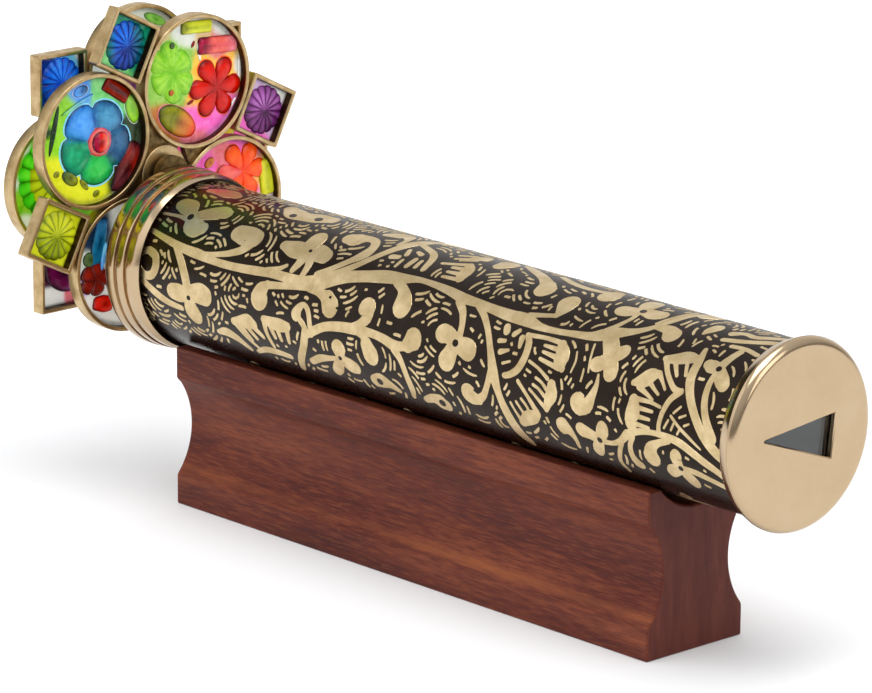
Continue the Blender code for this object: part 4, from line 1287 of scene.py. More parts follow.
        def open_at(x: float, s: float, number: int) -> bool:
            """Tells whether a stack's mark may pass a point.

            Args:
                x: The point's place along the tube.
                s: Its place round the tube.
                number: The stack.

            Returns:
                True where the ground is free and no other stack is as near.
            """
            inside = self.x_range[0] + END_MARGINS[0] < x < self.x_range[1] - END_MARGINS[1]
            # No marks in the strip that is left bare as painted shade.
            in_shade_strip = PAINTED_SHADE_STRIP[0] < s % self.turn < PAINTED_SHADE_STRIP[1]
            if in_shade_strip or not inside or at(found, x, s) < DASH_MARGIN:
                return False
            (_, first, near), (_, _, far) = tree.find_n((x, s % self.turn, 0.0), 2)
            return first == number and far - near > STACK_GAP and near < STACK_SPACING

        def row_of_marks(number: int, middle: Flat, radius: float, lean: float) -> list[Stroke]:
            """Lays the marks along one arc of a stack.

            Args:
                number: The stack.
                middle: The arc's middle.
                radius: Its radius.
                lean: The angle about which it lies.

            Returns:
                The marks.
            """
            marks: list[Stroke] = []
            sweep = min(1.1 * STACK_SPACING / radius, WIDEST_SWEEP)
            run: list[Flat] = []
            limit = self.random.uniform(*DASH_LENGTH)
            angle = -sweep
            while angle <= sweep + DASH_STEP / radius:
                px = middle[0] + radius * math.cos(lean + angle)
                ps = middle[1] + radius * math.sin(lean + angle)
                if angle <= sweep and open_at(px, ps, number) and len(run) * DASH_STEP < limit:
                    run.append((px, ps))
                else:
                    if len(run) * DASH_STEP > LEAST_DASH:
                        width = DASH_WIDTH * self.random.uniform(*WIDTH_SPREAD)
                        picks = run[:: max(1, len(run) // 4)] + [run[-1]]
                        marks.append(Stroke(tuple((*pick, width) for pick in picks), 0.001))
                    if run:
                        run, limit = [], self.random.uniform(*DASH_LENGTH)
                        angle += DASH_GAP * DASH_STEP / radius
                angle += DASH_STEP / radius
            return marks

        made: list[Stroke] = []
        for number, (x, s) in enumerate(places):
            slope = (at(slope_x, x, s), at(slope_s, x, s))
            lean = math.atan2(slope[1], slope[0]) + self.random.uniform(*LEAN_SPREAD)
            if math.hypot(*slope) < LEVEL_SLOPE:
                lean = self.random.uniform(0.0, 2 * math.pi)
            bend = self.random.uniform(*STACK_BEND)
            middle = (x - bend * math.cos(lean), s - bend * math.sin(lean))
            radius = bend - int(STACK_SPACING * 0.9 / DASH_PITCH) * DASH_PITCH
            while radius < bend + STACK_SPACING:
                if radius > LEAST_RADIUS:
                    made += row_of_marks(number, middle, radius, lean)
                radius += DASH_PITCH * self.random.uniform(*PITCH_SPREAD)
        spot, reach = BARE_SPOT
        kept: list[Stroke] = []
        for number, mark in enumerate(made):
            place = mark.points[0][:2]
            if math.dist(place, spot) > reach and (place[0] < SPARSE_FROM or number % SPARSE_EVERY):
                kept.append(mark)
        return kept


@dataclass
class Tube:
    """The outer tube: lacquered ground with the brass scroll standing proud of it."""

    wall: float = 1.2 * MM
    relief: float = 0.04 * MM
    sink: float = 0.06 * MM
    ease: float = 0.2 * MM
    segments: int = 160

    def build(self) -> None:
        """Builds the ground and wraps the scroll round it."""
        low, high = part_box("outer_tube")
        self.radius = (high[2] - low[2]) / 2
        self.axis = (low[2] + high[2]) / 2
        section = ring_section(self.radius - self.relief, self.radius - self.wall, low[0], high[0])
        bm = bmesh.new()
        turned(bm, eased(section, self.ease), (0.0, self.axis), self.segments)
        dress_piece(store("tube_ground", bm), [LACQUER], Body.SCOPE, ("outer_tube",), 38.0)
        scroll = Scroll(self.radius / MM, (low[0] / MM, high[0] / MM))
        self.wrap("scroll_stems", scroll.stems, ETCHED_BRASS, 1.0, 1)
        self.wrap("scroll_blossoms", scroll.blossoms, ETCHED_BRASS, 0.9, 1)
        marks = scroll.dashes()
        half = len(marks) // 2
        marks.sort(key=lambda stroke: stroke.points[0][0])
        self.wrap("scroll_dashes_back", marks[:half], ETCHED_BRASS, 0.0, 0)
        self.wrap("scroll_dashes_front", marks[half:], ETCHED_BRASS, 0.0, 0)
        self.wrap("scroll_dots", scroll.dots, LACQUER, 0.9, 1)

    def wrap(self, name: str, strokes: list[Stroke], finish: Finish, pitch: float, cuts: int) -> None:
        """Turns flat strokes into relief on the tube with Geometry Nodes.

        Args:
            name: The piece's name.
            strokes: The flat strokes.
            finish: Their finish.
            pitch: Spacing of points along them in millimetres; zero keeps the strokes' own points.
            cuts: Cuts across each side of the ribbon's section.
        """
        spots, edges, halves, lifts = [], [], [], []
        for stroke in strokes:
            path = smooth_path(stroke, pitch) if pitch else plain_path(stroke)
            first = len(spots)
            for x, s, half in path:
                spots.append((x * MM, s * MM, 0.0))
                halves.append(half * MM)
                lifts.append(stroke.lift * MM)
            edges += [(first + index, first + index + 1) for index in range(len(path) - 1)]
        mesh = bpy.data.meshes.new(name)
        mesh.from_pydata(spots, edges, [])
        for key, values in (("half_width", halves), ("lift", lifts)):
            mesh.attributes.new(key, "FLOAT", "POINT").data.foreach_set("value", values)
        piece = link_object(name, mesh)
        tree = ribbon_tree()
        step = piece.modifiers.new("ribbon", "NODES")
        step.node_group = tree
        inputs = {
            "Tube Radius": self.radius,
            "Relief": self.relief,
            "Sink": self.sink,
            "Axis Height": self.axis,
            "Cuts": cuts,
            "Finish": finish.material(),
        }
        for item in tree.interface.items_tree:
            if item.item_type == "SOCKET" and item.in_out == "INPUT" and item.name in inputs:
                step[item.identifier] = inputs[item.name]
        bake(piece)
        bm = bmesh.new()
        bm.from_mesh(piece.data)
        bmesh.ops.recalc_face_normals(bm, faces=bm.faces)
        bm.to_mesh(piece.data)
        bm.free()
        dress_piece(piece, [finish], Body.SCOPE, (), 15.0)


def ribbon_tree() -> bpy.types.NodeTree:
    """Builds the Geometry Nodes tree that wraps flat strokes round the tube as raised ribbons.

    Returns:
        The tree, made once.
    """
    found = bpy.data.node_groups.get("wrapped_ribbons")
    if found:
        return found
    tree = bpy.data.node_groups.new("wrapped_ribbons", "GeometryNodeTree")
    face = tree.interface
    face.new_socket(name="Geometry", in_out="INPUT", socket_type="NodeSocketGeometry")
    for key in ("Tube Radius", "Relief", "Sink", "Axis Height"):
        face.new_socket(name=key, in_out="INPUT", socket_type="NodeSocketFloat")
    face.new_socket(name="Cuts", in_out="INPUT", socket_type="NodeSocketInt")
    face.new_socket(name="Finish", in_out="INPUT", socket_type="NodeSocketMaterial")
    face.new_socket(name="Geometry", in_out="OUTPUT", socket_type="NodeSocketGeometry")
    sheet = NodeSheet(tree)
    maths = sheet.maths
    source = sheet.add("NodeGroupInput").outputs
    result = sheet.add("NodeGroupOutput")
    radius, relief, sink = source["Tube Radius"], source["Relief"], source["Sink"]
    curve = sheet.add("GeometryNodeMeshToCurve", {"Mesh": source["Geometry"]}).outputs[0]
    normal = sheet.add("GeometryNodeSetCurveNormal", {"Curve": curve})
    if hasattr(normal, "mode"):
        normal.mode = "Z_UP"
    half, lift = [
        sheet.add("GeometryNodeInputNamedAttribute", {"Name": key}, data_type="FLOAT").outputs[0]
        for key in ("half_width", "lift")
    ]
    corners = ((-1.0, 0.0, 0.0), (-0.94, 1.0, 0.0), (0.94, 1.0, 0.0), (1.0, 0.0, 0.0))
    places = {f"Point {number}": corner for number, corner in enumerate(corners, 1)}
    section = sheet.add("GeometryNodeCurvePrimitiveQuadrilateral", places, mode="POINTS").outputs[0]
    section = sheet.add("GeometryNodeSubdivideCurve", {"Curve": section, "Cuts": source["Cuts"]}).outputs[0]
    sweep = {"Curve": normal.outputs[0], "Profile Curve": section, "Scale": half, "Fill Caps": True}
    ribbon = sheet.add("GeometryNodeCurveToMesh", sweep).outputs[0]
    place = sheet.add("ShaderNodeSeparateXYZ", {0: sheet.add("GeometryNodeInputPosition").outputs[0]}).outputs
    rim = maths("DIVIDE", maths("ABSOLUTE", place["Z"]), half)
    depth = maths("ADD", maths("ADD", relief, sink), lift)
    base = maths("SUBTRACT", maths("SUBTRACT", radius, relief), sink)
    reach = maths("ADD", base, maths("MULTIPLY", depth, rim))
    angle = maths("DIVIDE", place["Y"], radius)
    y = maths("MULTIPLY", maths("MULTIPLY", reach, maths("SINE", angle)), -1.0)
    z = maths("ADD", maths("MULTIPLY", reach, maths("COSINE", angle)), source["Axis Height"])
    spot = sheet.add("ShaderNodeCombineXYZ", {"X": place["X"], "Y": y, "Z": z}).outputs[0]
    moved = sheet.add("GeometryNodeSetPosition", {"Geometry": ribbon, "Position": spot}).outputs[0]
    real = sheet.add("GeometryNodeRealizeInstances", {"Geometry": moved}).outputs[0]
    dressed = sheet.add("GeometryNodeSetMaterial", {"Geometry": real, "Material": source["Finish"]})
    sheet.fill(result, {0: dressed.outputs[0]})
    return tree


# The cap, the collar and what the tube holds


@dataclass
class EyepieceCap:
    """The cap pressed over the tube's near end, with the triangular eyehole."""

    edge_radius: float = 2.0 * MM
    edge_points: int = 17
    face_thickness: float = 1.2 * MM
    socket_radius: float = 19.3 * MM
    back_edge: float = 0.3 * MM
    back_roll: float = 2.9 * MM
    back_drop: float = 1.0 * MM
    back_steps: int = 8
    hole_ease: float = 0.35 * MM
    hole_flare: float = 0.28 * MM
    hole_length: float = 20.9 * MM
    sight_turn: float = math.radians(-7.1)
    sight_apex: float = math.radians(25.7)
    apex_reach: float = 11.6 * MM
    apex_rise: float = 1.05 * MM
    segments: int = 160

    def sight_point(self, along: float, across: float, axis: float) -> Flat:
        """A (y, z) point of the eyehole.

        Args:
            along: Way from its apex along its middle line.
            across: Way across the line.
            axis: Height of the tube's axis.

        Returns:
            The point.
        """
        cos, sin = math.cos(self.sight_turn), math.sin(self.sight_turn)
        return (
            -self.apex_reach + along * cos - across * sin,
            axis + self.apex_rise + along * sin + across * cos,
        )

    def build(self) -> None:
        """Builds and dresses the cap."""
        low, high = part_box("eyepiece_cap")
        axis, outer = (low[2] + high[2]) / 2, (high[2] - low[2]) / 2
        inner_x = high[0] - self.face_thickness
        middle = (high[0] - self.edge_radius, outer - self.edge_radius)
        section = [(high[0], 0.0)] + arc(middle, self.edge_radius, 0.0, math.pi / 2, self.edge_points)
        for step in range(self.back_steps + 1):
            share = step / self.back_steps
            drop = self.back_drop * share**1.3
            section.append((low[0] + self.back_edge + self.back_roll * (1 - share), outer - drop))
        section.append((low[0], outer - self.back_drop - self.back_edge))
        section += [(low[0], self.socket_radius), (inner_x, self.socket_radius), (inner_x, 0.0)]
        bm = bmesh.new()
        turned(bm, section, (0.0, axis), self.segments)
        cap = store("cap_shell", bm)
        base = self.hole_length * math.tan(self.sight_apex / 2)
        ends = ((0.0, 0.0), (self.hole_length, -base), (self.hole_length, base))
        corners = eased([self.sight_point(*end, axis) for end in ends], self.hole_ease, 3)
        wide = inset(corners, -self.hole_flare)
        rings = [
            (inner_x - 1 * MM, corners),
            (high[0] - self.hole_flare, corners),
            (high[0], wide),
            (high[0] + 0.3 * MM, wide),
        ]
        tool = bmesh.new()
        loft(tool, [[Vector((x, y, z)) for y, z in shape] for x, shape in rings])
        cut_out(cap, tool)
        dress_piece(cap, [TURNED_BRASS], Body.SCOPE, ("eyepiece_cap",), 30.0)


@dataclass
class Collar:
    """The turned collar at the wheels' end: three crowned bands, grooves, a lip and the viewing hole."""

    flange: float = 4.4 * MM
    hole_radius: float = 15.8 * MM
    hole_ease: float = 0.3 * MM
    socket_radius: float = 19.3 * MM
    lip_length: float = 1.2 * MM
    lip_step: float = 1.2 * MM
    groove_width: float = 0.5 * MM
    groove_depth: float = 0.6 * MM
    crown: float = 0.12 * MM
    crown_steps: int = 12
    band_drops: tuple[float, float, float] = (0.5 * MM, 0.2 * MM, 0.0)
    segments: int = 176

    def build(self) -> None:
        """Builds and dresses the collar."""
        low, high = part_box("objective_collar")
        axis, outer = (low[2] + high[2]) / 2, (high[2] - low[2]) / 2
        rim, front = high[0], low[0]
        section = [(rim, self.socket_radius), (rim, outer - self.lip_step)]
        start = rim - self.lip_length
        band = (rim - front - self.lip_length) / 3
        for index, drop in enumerate(self.band_drops):
            first = start - index * band - (self.groove_width / 2 if index else 0.0)
            last = start - (index + 1) * band + (self.groove_width / 2 if index < 2 else 0.0)
            radius = outer - drop
            for point in range(self.crown_steps + 1):
                share = point / self.crown_steps
                sag = self.crown * (2 * share - 1) ** 4 * 1.3
                section.append((first + (last - first) * share, radius - sag))
            if index < 2:
                middle = last - self.groove_width / 2
                section.append((last - 0.12 * MM, radius - self.groove_depth * 0.8))
                section.append((middle, radius - self.groove_depth))
                section.append((middle - 0.13 * MM, radius - self.groove_depth * 0.8))
        section += [(front, self.hole_radius + self.hole_ease), (front + self.hole_ease, self.hole_radius)]
        section += [(front + self.flange, self.hole_radius), (front + self.flange, self.socket_radius)]
        bm = bmesh.new()
        turned(bm, section, (0.0, axis), self.segments)
        for face in bm.faces:
            if all(vert.co.x > rim - 0.02 * MM for vert in face.verts):
                face.material_index = 1
        finishes = [TURNED_BRASS, LACQUER]
        dress_piece(store("collar_turned", bm), finishes, Body.SCOPE, ("objective_collar",), 32.0)


# The CAD nodes that stay in the scene as they are: glasses, mirrors, black strip, foam holders and axle.
CARRIED_OVER = {
    "eyepiece_glass": GLASS,
    "objective_glass": GLASS,
    "upper_mirror": MIRROR,
    "lower_mirror": MIRROR,
    "black_strip": CARD,
    "eyepiece_mirror_holder": FOAM,
    "objective_mirror_holder": FOAM,
    "wheel_axle": POLISHED_BRASS,
}


@dataclass
class Sight:
    """What the tube holds, and the axle."""

    def build(self) -> None:
        """Gives each carried-over CAD node its finish."""
        for name, finish in CARRIED_OVER.items():
            dress_node(name, finish)


def dress_node(name: str, finish: Finish) -> None:
    """Assigns a finish to a CAD node that stays in the scene.

    Args:
        name: The node's name.
        finish: Its finish.
    """
    node = bpy.data.objects[name]
    if not node.material_slots:
        node.data.materials.append(finish.material())
    for slot in node.material_slots:
        slot.material = finish.material()
    log.info("%s: carried over", name)


# The axle


@dataclass
class AxleSet:
    """The still pieces strung on the axle: boss, spacer, washer and cap nut."""

    bore: float = 1.8 * MM
    ease: float = 0.25 * MM
    boss_top: float = 2.7 * MM
    boss_shoulder_share: float = 0.45
    boss_steps: int = 12
    nut_dome_share: float = 0.55
    nut_steps: int = 10
    nut_ease: float = 0.2 * MM
    nut_face: float = 1.0 * MM
    segments: int = 64

    def build(self) -> None:
        """Builds and dresses each piece."""
        low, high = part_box("axle_boss")
        line = (0.0, (low[2] + high[2]) / 2)
        base = (high[2] - low[2]) / 2
        shoulder = low[0] + (high[0] - low[0]) * self.boss_shoulder_share
        boss = [(high[0], self.bore), (high[0], base)]
        boss += dome(shoulder, shoulder - low[0], self.boss_top, base - self.boss_top, self.boss_steps)
        boss.append((low[0], self.bore))
        # The boss takes the dark solder finish as painted shade.
        self.piece("boss_domed", boss, line, "axle_boss", SOLDER_AND_BOSS_SHADE)
        for name, node in (("spacer_sleeve", "wheel_spacer"), ("washer_flat", "axle_washer")):
            low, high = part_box(node)
            ring = ring_section((high[2] - low[2]) / 2, self.bore, low[0], high[0])
            self.piece(name, eased(ring, self.ease), line, node)
        low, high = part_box("axle_cap_nut")
        radius = (high[2] - low[2]) / 2
        swell = radius * (1 - self.nut_dome_share)
        nut = [(high[0], self.bore), (high[0], radius - self.nut_ease), (high[0] - self.nut_ease, radius)]
        nut += dome(low[0] + swell, swell, radius * self.nut_dome_share, swell, self.nut_steps)
        nut += [(low[0], 0.0), (low[0] + self.nut_face, 0.0), (low[0] + self.nut_face, self.bore)]
        self.piece("cap_nut_domed", nut, line, "axle_cap_nut")

    def piece(
        self, name: str, section: list[Flat], line: Flat, node: str, finish: Finish = POLISHED_BRASS
    ) -> None:
        """Turns one section about the axle's line.

        Args:
            name: The piece's name.
            section: Its closed (x, radius) section.
            line: The axle's y and z.
            node: The CAD node that it stands for.
            finish: Its finish.
        """
        bm = bmesh.new()
        turned(bm, section, line, self.segments)
        dress_piece(store(name, bm), [finish], Body.SCOPE, (node,), 32.0)


# The jewel wheels


class Shape(Enum):
    """Outlines of cast beads: count of petals, how far in the waist between them lies, and ribs."""

    FLOWER5 = (5, 0.80, 0)
    FLOWER6 = (6, 0.50, 0)
    RIBBED6 = (6, 0.80, 3)
    DAISY = (15, 0.95, 0)
    BAR = (0, 1.0, 1)
    OVAL = (0, 1.0, 2)
    SHARD = (0, 1.0, 3)


@dataclass(frozen=True)
class Spot:
    """A soft patch of colour in a jewel's ground; places are shares of the jewel's radius."""

    tint: Tint
    across: float
    up: float
    reach: float = 0.3
    tone: float = 0.8


@dataclass(frozen=True)
class Bead:
    """A bead set in a jewel; places and sizes are shares of the jewel's radius, the turn in degrees."""

    shape: Shape
    tints: tuple[Tint, ...]
    across: float
    up: float
    length: float
    width: float
    turn: float = 0.0
    height: float = 1.1 * MM
    rise: float = 0.0
    halo: Tint | None = None


@dataclass(frozen=True)
class Jewel:
    """One jewel: the colours of its ground and its beads."""

    ground: tuple[Spot, ...]
    beads: tuple[Bead, ...] = ()
    slot: str = "resin_clear"


def turned_points(points: list[Flat], turn: float) -> list[Flat]:
    """Turns points about the origin.

    Args:
        points: The points.
        turn: The angle in radians, anticlockwise.

    Returns:
        The turned points.
    """
    cos, sin = math.cos(turn), math.sin(turn)
    return [(y * cos - z * sin, y * sin + z * cos) for y, z in points]


def smooth_step(value: float) -> float:
    """Eases a value between 0 and 1."""
    value = min(max(value, 0.0), 1.0)
    return value * value * (3 - 2 * value)


@dataclass
class Caster:
    """Casts grounds and beads into one mesh that carries its colours point by point."""

    spot: Flat
    face_x: float
    radius: float
    slip: Flat
    back_chamfer: float = 0.2 * MM
    core_steps: int = 24
    core_share: float = 0.041
    face_steps: int = 19
    face_share: float = 0.045
    # rim_shade darkens the ground near the bezel's wall as painted shade.
    rim_shade: float = 0.55
    glow_share: float = 0.8
    sunk: float = -0.15 * MM
    halo_lift: float = 0.1 * MM
    bar_points: int = 7
    corner_points: int = 6
    oval_points: int = 40

    def __post_init__(self) -> None:
        """Starts the mesh with its layer of colours."""
        self.bm = bmesh.new()
        self.layer = self.bm.verts.layers.float_color.new("tint")

    def point(self, x: float, y: float, z: float, colour: np.ndarray) -> bmesh.types.BMVert:
        """Adds a coloured point.

        Args:
            x: Its place along the axle.
            y: Its place from the jewel's middle.
            z: The same upwards.
            colour: Its linear colour.

        Returns:
            The point.
        """
        vert = self.bm.verts.new((x, self.spot[0] + y, self.spot[1] + z))
        vert[self.layer] = (*colour, 1.0)
        return vert

    def shown_through(self, beads: tuple[Bead, ...], y: float, z: float, colour: np.ndarray) -> np.ndarray:
        """A ground colour with the beads that show through it from behind.

        Args:
            beads: The jewel's beads.
            y: Place from the jewel's middle.
            z: The same upwards.
            colour: The ground's own colour there.

        Returns:
            The mixed colour.
        """
        for bead in beads:
            away = (y - self.slip[0] - bead.across * self.radius, z - self.slip[1] - bead.up * self.radius)
            along, over = turned_points([away], -math.radians(bead.turn))[0]
            along, over = along / (bead.length * self.radius), over / (bead.width * self.radius)
            petals, waist, _ = bead.shape.value
            angle = math.atan2(over, along) % (2 * math.pi)
            reach = math.hypot(along, over)
            if bead.shape is Shape.BAR:
                reach = max(abs(along), abs(over))
            elif petals:
                reach /= waist + (1 - waist) * self.swell(petals, angle)
            first, second, mix = self.tint_at(bead, angle, 0.5 + 0.5 * along)
            tint = first.shade(0.6) * (1 - mix) + second.shade(0.6) * mix
            share = self.glow_share * smooth_step((1.08 - reach) / 0.2)
            colour = colour * (1 - share) + tint * share
        return colour

    def ground_colour(self, jewel: Jewel, y: float, z: float, rim: float) -> np.ndarray:
        """Colour of a jewel's ground at a point, with painted shade darkening it at the rim.

        Args:
            jewel: The jewel.
            y: Place from its middle.
            z: The same upwards.
            rim: How near the rim the point is; 1 is at it.

        Returns:
            The linear colour.
        """
        total, weight = np.zeros(3), 0.0
        across, up = (y - self.slip[0]) / self.radius, (z - self.slip[1]) / self.radius
        for spot in jewel.ground:
            share = math.exp(-8.0 * math.hypot(across - spot.across, up - spot.up) / spot.reach)
            total += share * spot.tint.shade(spot.tone)
            weight += share
        return total / max(weight, 1e-90) * (1 - self.rim_shade * smooth_step((rim - 0.9) * 10))

    def ground(self, jewel: Jewel, loop: list[Flat], low_x: float, lip: float) -> None:
        """Casts the plate that fills a bezel, its colours running into one another.

        Args:
            jewel: The colours of its ground, and the beads that show through its back.
            loop: The plate's outline from its middle.
            low_x: The plate's back.
            lip: How far the resin climbs the bezel's wall.
        """

        def behind(y: float, z: float) -> bmesh.types.BMVert:
            """Adds a point of the plate's back."""
            colour = self.ground_colour(jewel, y, z, 0.0)
            return self.point(low_x, y, z, self.shown_through(jewel.beads, y, z, colour))

        def before(x: float, y: float, z: float, rim: float) -> bmesh.types.BMVert:
            """Adds a point of the plate's edge or face."""
            return self.point(x, y, z, self.ground_colour(jewel, y, z, rim))

        face = self.face_x
        # The last number of each step says how near the rim it counts, for the painted shade there.
        steps = [(low_x, 0.985, 1.0), (low_x + self.back_chamfer, 1.0, 1.0), (face + lip, 1.0, 1.0)]
        steps += [(face + lip * 0.3, 0.965, 0.965), (face, 0.93, 0.93)]
        steps += [(face, 0.9 - self.face_share * number, 0.0) for number in range(self.face_steps)]
        rings = [[behind(0.0, 0.0)]]
        for number in range(1, self.core_steps):
            share = self.core_share
            rings.append([behind(y * number * share, z * number * share) for y, z in loop])
        for x, share, rim in steps:
            rings.append([before(x, y * share, z * share, rim) for y, z in loop])
        rings.append([before(face, 0.0, 0.0, 0.0)])
        skin(self.bm, rings)

    def outline(self, bead: Bead, share: float) -> list[Flat]:
        """A bead's outline at a share of its full size, about its own middle.

        Args:
            bead: The bead.
            share: 1 at the rim, towards 0 at the top.

        Returns:
            Points in metres.
        """
        length, width = bead.length * self.radius, bead.width * self.radius
        petals, waist, _ = bead.shape.value
        if petals:
            count = petals * (12 if petals < 12 else 8)
            waist += 0.3 * (1 - waist) * (1 - share)
            points = []
            for step in range(count):
                angle = 2 * math.pi * step / count
                reach = share * (waist + (1 - waist) * self.swell(petals, angle))
                points.append((length * reach * math.cos(angle), width * reach * math.sin(angle)))
        elif bead.shape is Shape.BAR:
            half_length, half_width = length - width * (1 - share) * 0.8, width * share
            row = [half_length * (1 - step / 3) for step in range(self.bar_points)]
            corners = [(y, half_width) for y in row] + [(y, -half_width) for y in reversed(row)]
            points = eased(corners, max(half_width * 0.7, 1e-6), self.corner_points)
        elif bead.shape is Shape.SHARD:
            corners = [
                (length, -width * 0.4), (length * 0.86, width), (-length * 0.2, width * 0.8),
                (-length, width * 0.2), (-length * 0.8, -width), (length * 0.3, -width * 0.9),
            ]
            corners = [(y * share, z * share) for y, z in corners]
            points = eased(corners, width * 0.4 * share, self.corner_points)
        else:
            points = oval(length * share, width * share, self.oval_points)
        return turned_points(points, math.radians(bead.turn))

    def swell(self, petals: int, angle: float) -> float:
        """How full a flower is at an angle: 1 on a petal, 0 between two."""
        return abs(math.cos(petals * angle / 2)) ** 0.5

    def tint_at(self, bead: Bead, angle: float, along: float) -> tuple[Tint, Tint, float]:
        """Finds the tints of a point of a bead.

        Args:
            bead: The bead.
            angle: The point's angle about the bead's middle, for a flower of few petals.
            along: Its share of the way along the bead, for the others.

        Returns:
            The two tints that it lies between, and the share of the second.
        """
        petals = bead.shape.value[0]
        if 0 < petals < 12:
            place = angle / (2 * math.pi) * petals
            tints = [bead.tints[int(place + side) % petals % len(bead.tints)] for side in (0, 1)]
            return tints[0], tints[1], smooth_step((place % 1 - 0.3) / 0.4)
        place = min(max(along, 0.0), 0.999) * (len(bead.tints) - 1)
        low = int(place)
        return bead.tints[low], bead.tints[min(low + 1, len(bead.tints) - 1)], smooth_step(place - low)

    def petal_form(self, bead: Bead, share: float, painted_light: float, step: int, count: int) -> Flat:
        """Shapes a flower at a point of an outline, with painted shade in the creases between its petals and
        ribs.

        Args:
            bead: The flower.
            share: The outline's share of its full size.
            painted_light: The outline's tone.
            step: The point's number.
            count: Points in the outline.

        Returns:
            A factor on the point's height, and its tone.
        """
        petals, _, ribs = bead.shape.value
        angle = 2 * math.pi * step / count
        swell = self.swell(petals, angle)
        factor = 1 - 0.4 * (1 - swell) * min(1.0, share * 1.5)
        factor *= 1 - 0.22 * math.exp(-((share / 0.3) ** 2))
        # The tone is painted shade and light: dark at the rim, in the creases between petals and in the
        # grooves between ribs, pale on top.
        tone = 0.3 * (share < 0.97) + 0.7 * painted_light * (0.25 + 0.75 * swell)
        if petals > 11:
            petal = round(step * petals / count) % petals + 7.3 * bead.across + bead.turn
            wave, crease = math.sin(petal * 12.9898), 0.5 + 0.5 * math.sin(petal * 78.233)
            tone = 0.35 + 0.45 * painted_light * swell + 0.34 * wave * swell - (1 - swell) * (0.15 + 0.6 * crease)
        if ribs:
            rib = abs(math.sin(petals * ribs * angle / 2)) ** 0.7
            factor *= 0.86 + 0.14 * rib
            tone = 0.35 + 0.65 * tone * (0.5 + 0.5 * rib)
        return factor, tone

    def bead(self, bead: Bead) -> None:
        """Casts one bead as a rounded mound with creases between its petals, its colour painted darker at the
        rim and in the creases as painted shade and paler on top as a painted highlight.

        Args:
            bead: The bead.
        """
        across, up = bead.across * self.radius + self.slip[0], bead.up * self.radius + self.slip[1]
        petals = bead.shape.value[0]
        cos, sin = math.cos(math.radians(bead.turn)), math.sin(math.radians(bead.turn))
        # Each step is a share of the outline and its painted tone: 0 is painted shade at the rim and 1 a
        # painted highlight on top; -1 marks the sunk foot and -0.5 the halo.
        steps = [(1.0, -1.0), (1.0, 0.0), (0.985, 0.0), (0.94, 0.35), (0.86, 0.7), (0.74, 1.0), (0.6, 1.0)]
        steps += [(0.44, 0.9), (0.28, 0.7), (0.12, 0.5)]
        if bead.halo:
            steps = [(1.045, -1.0), (1.045, -0.5), (1.01, -0.5), *steps[1:]]
        rings = []
        for share, painted_light in steps + [(0.0, 0.5)]:
            outline = self.outline(bead, share) if share else [(0.0, 0.0)]
            mound = bead.height * (0.12 + 0.88 * (1 - min(share, 1.0) ** 2.4) ** 0.6)
            ring = []
            for step, (y, z) in enumerate(outline):
                lift, tone, aim = mound, painted_light, y * cos + z * sin
                if petals:
                    factor, tone = self.petal_form(bead, share, painted_light, step, len(outline))
                    lift, aim = mound * factor, y
                if painted_light < 0:
                    lift = self.sunk if painted_light < -0.6 else self.halo_lift
                along = 0.5 + 0.5 * aim / (bead.length * self.radius)
                first, second, mix = self.tint_at(bead, 2 * math.pi * step / len(outline), along)
                tone = min(max(tone, 0.0), 1.0)
                colour = first.shade(tone) * (1 - mix) + second.shade(tone) * mix
                if bead.halo and painted_light < 0:
                    colour = bead.halo.shade(0.9)
                ring.append(self.point(self.face_x + bead.rise + lift, across + y, up + z, colour))
            rings.append(ring)
        skin(self.bm, rings)


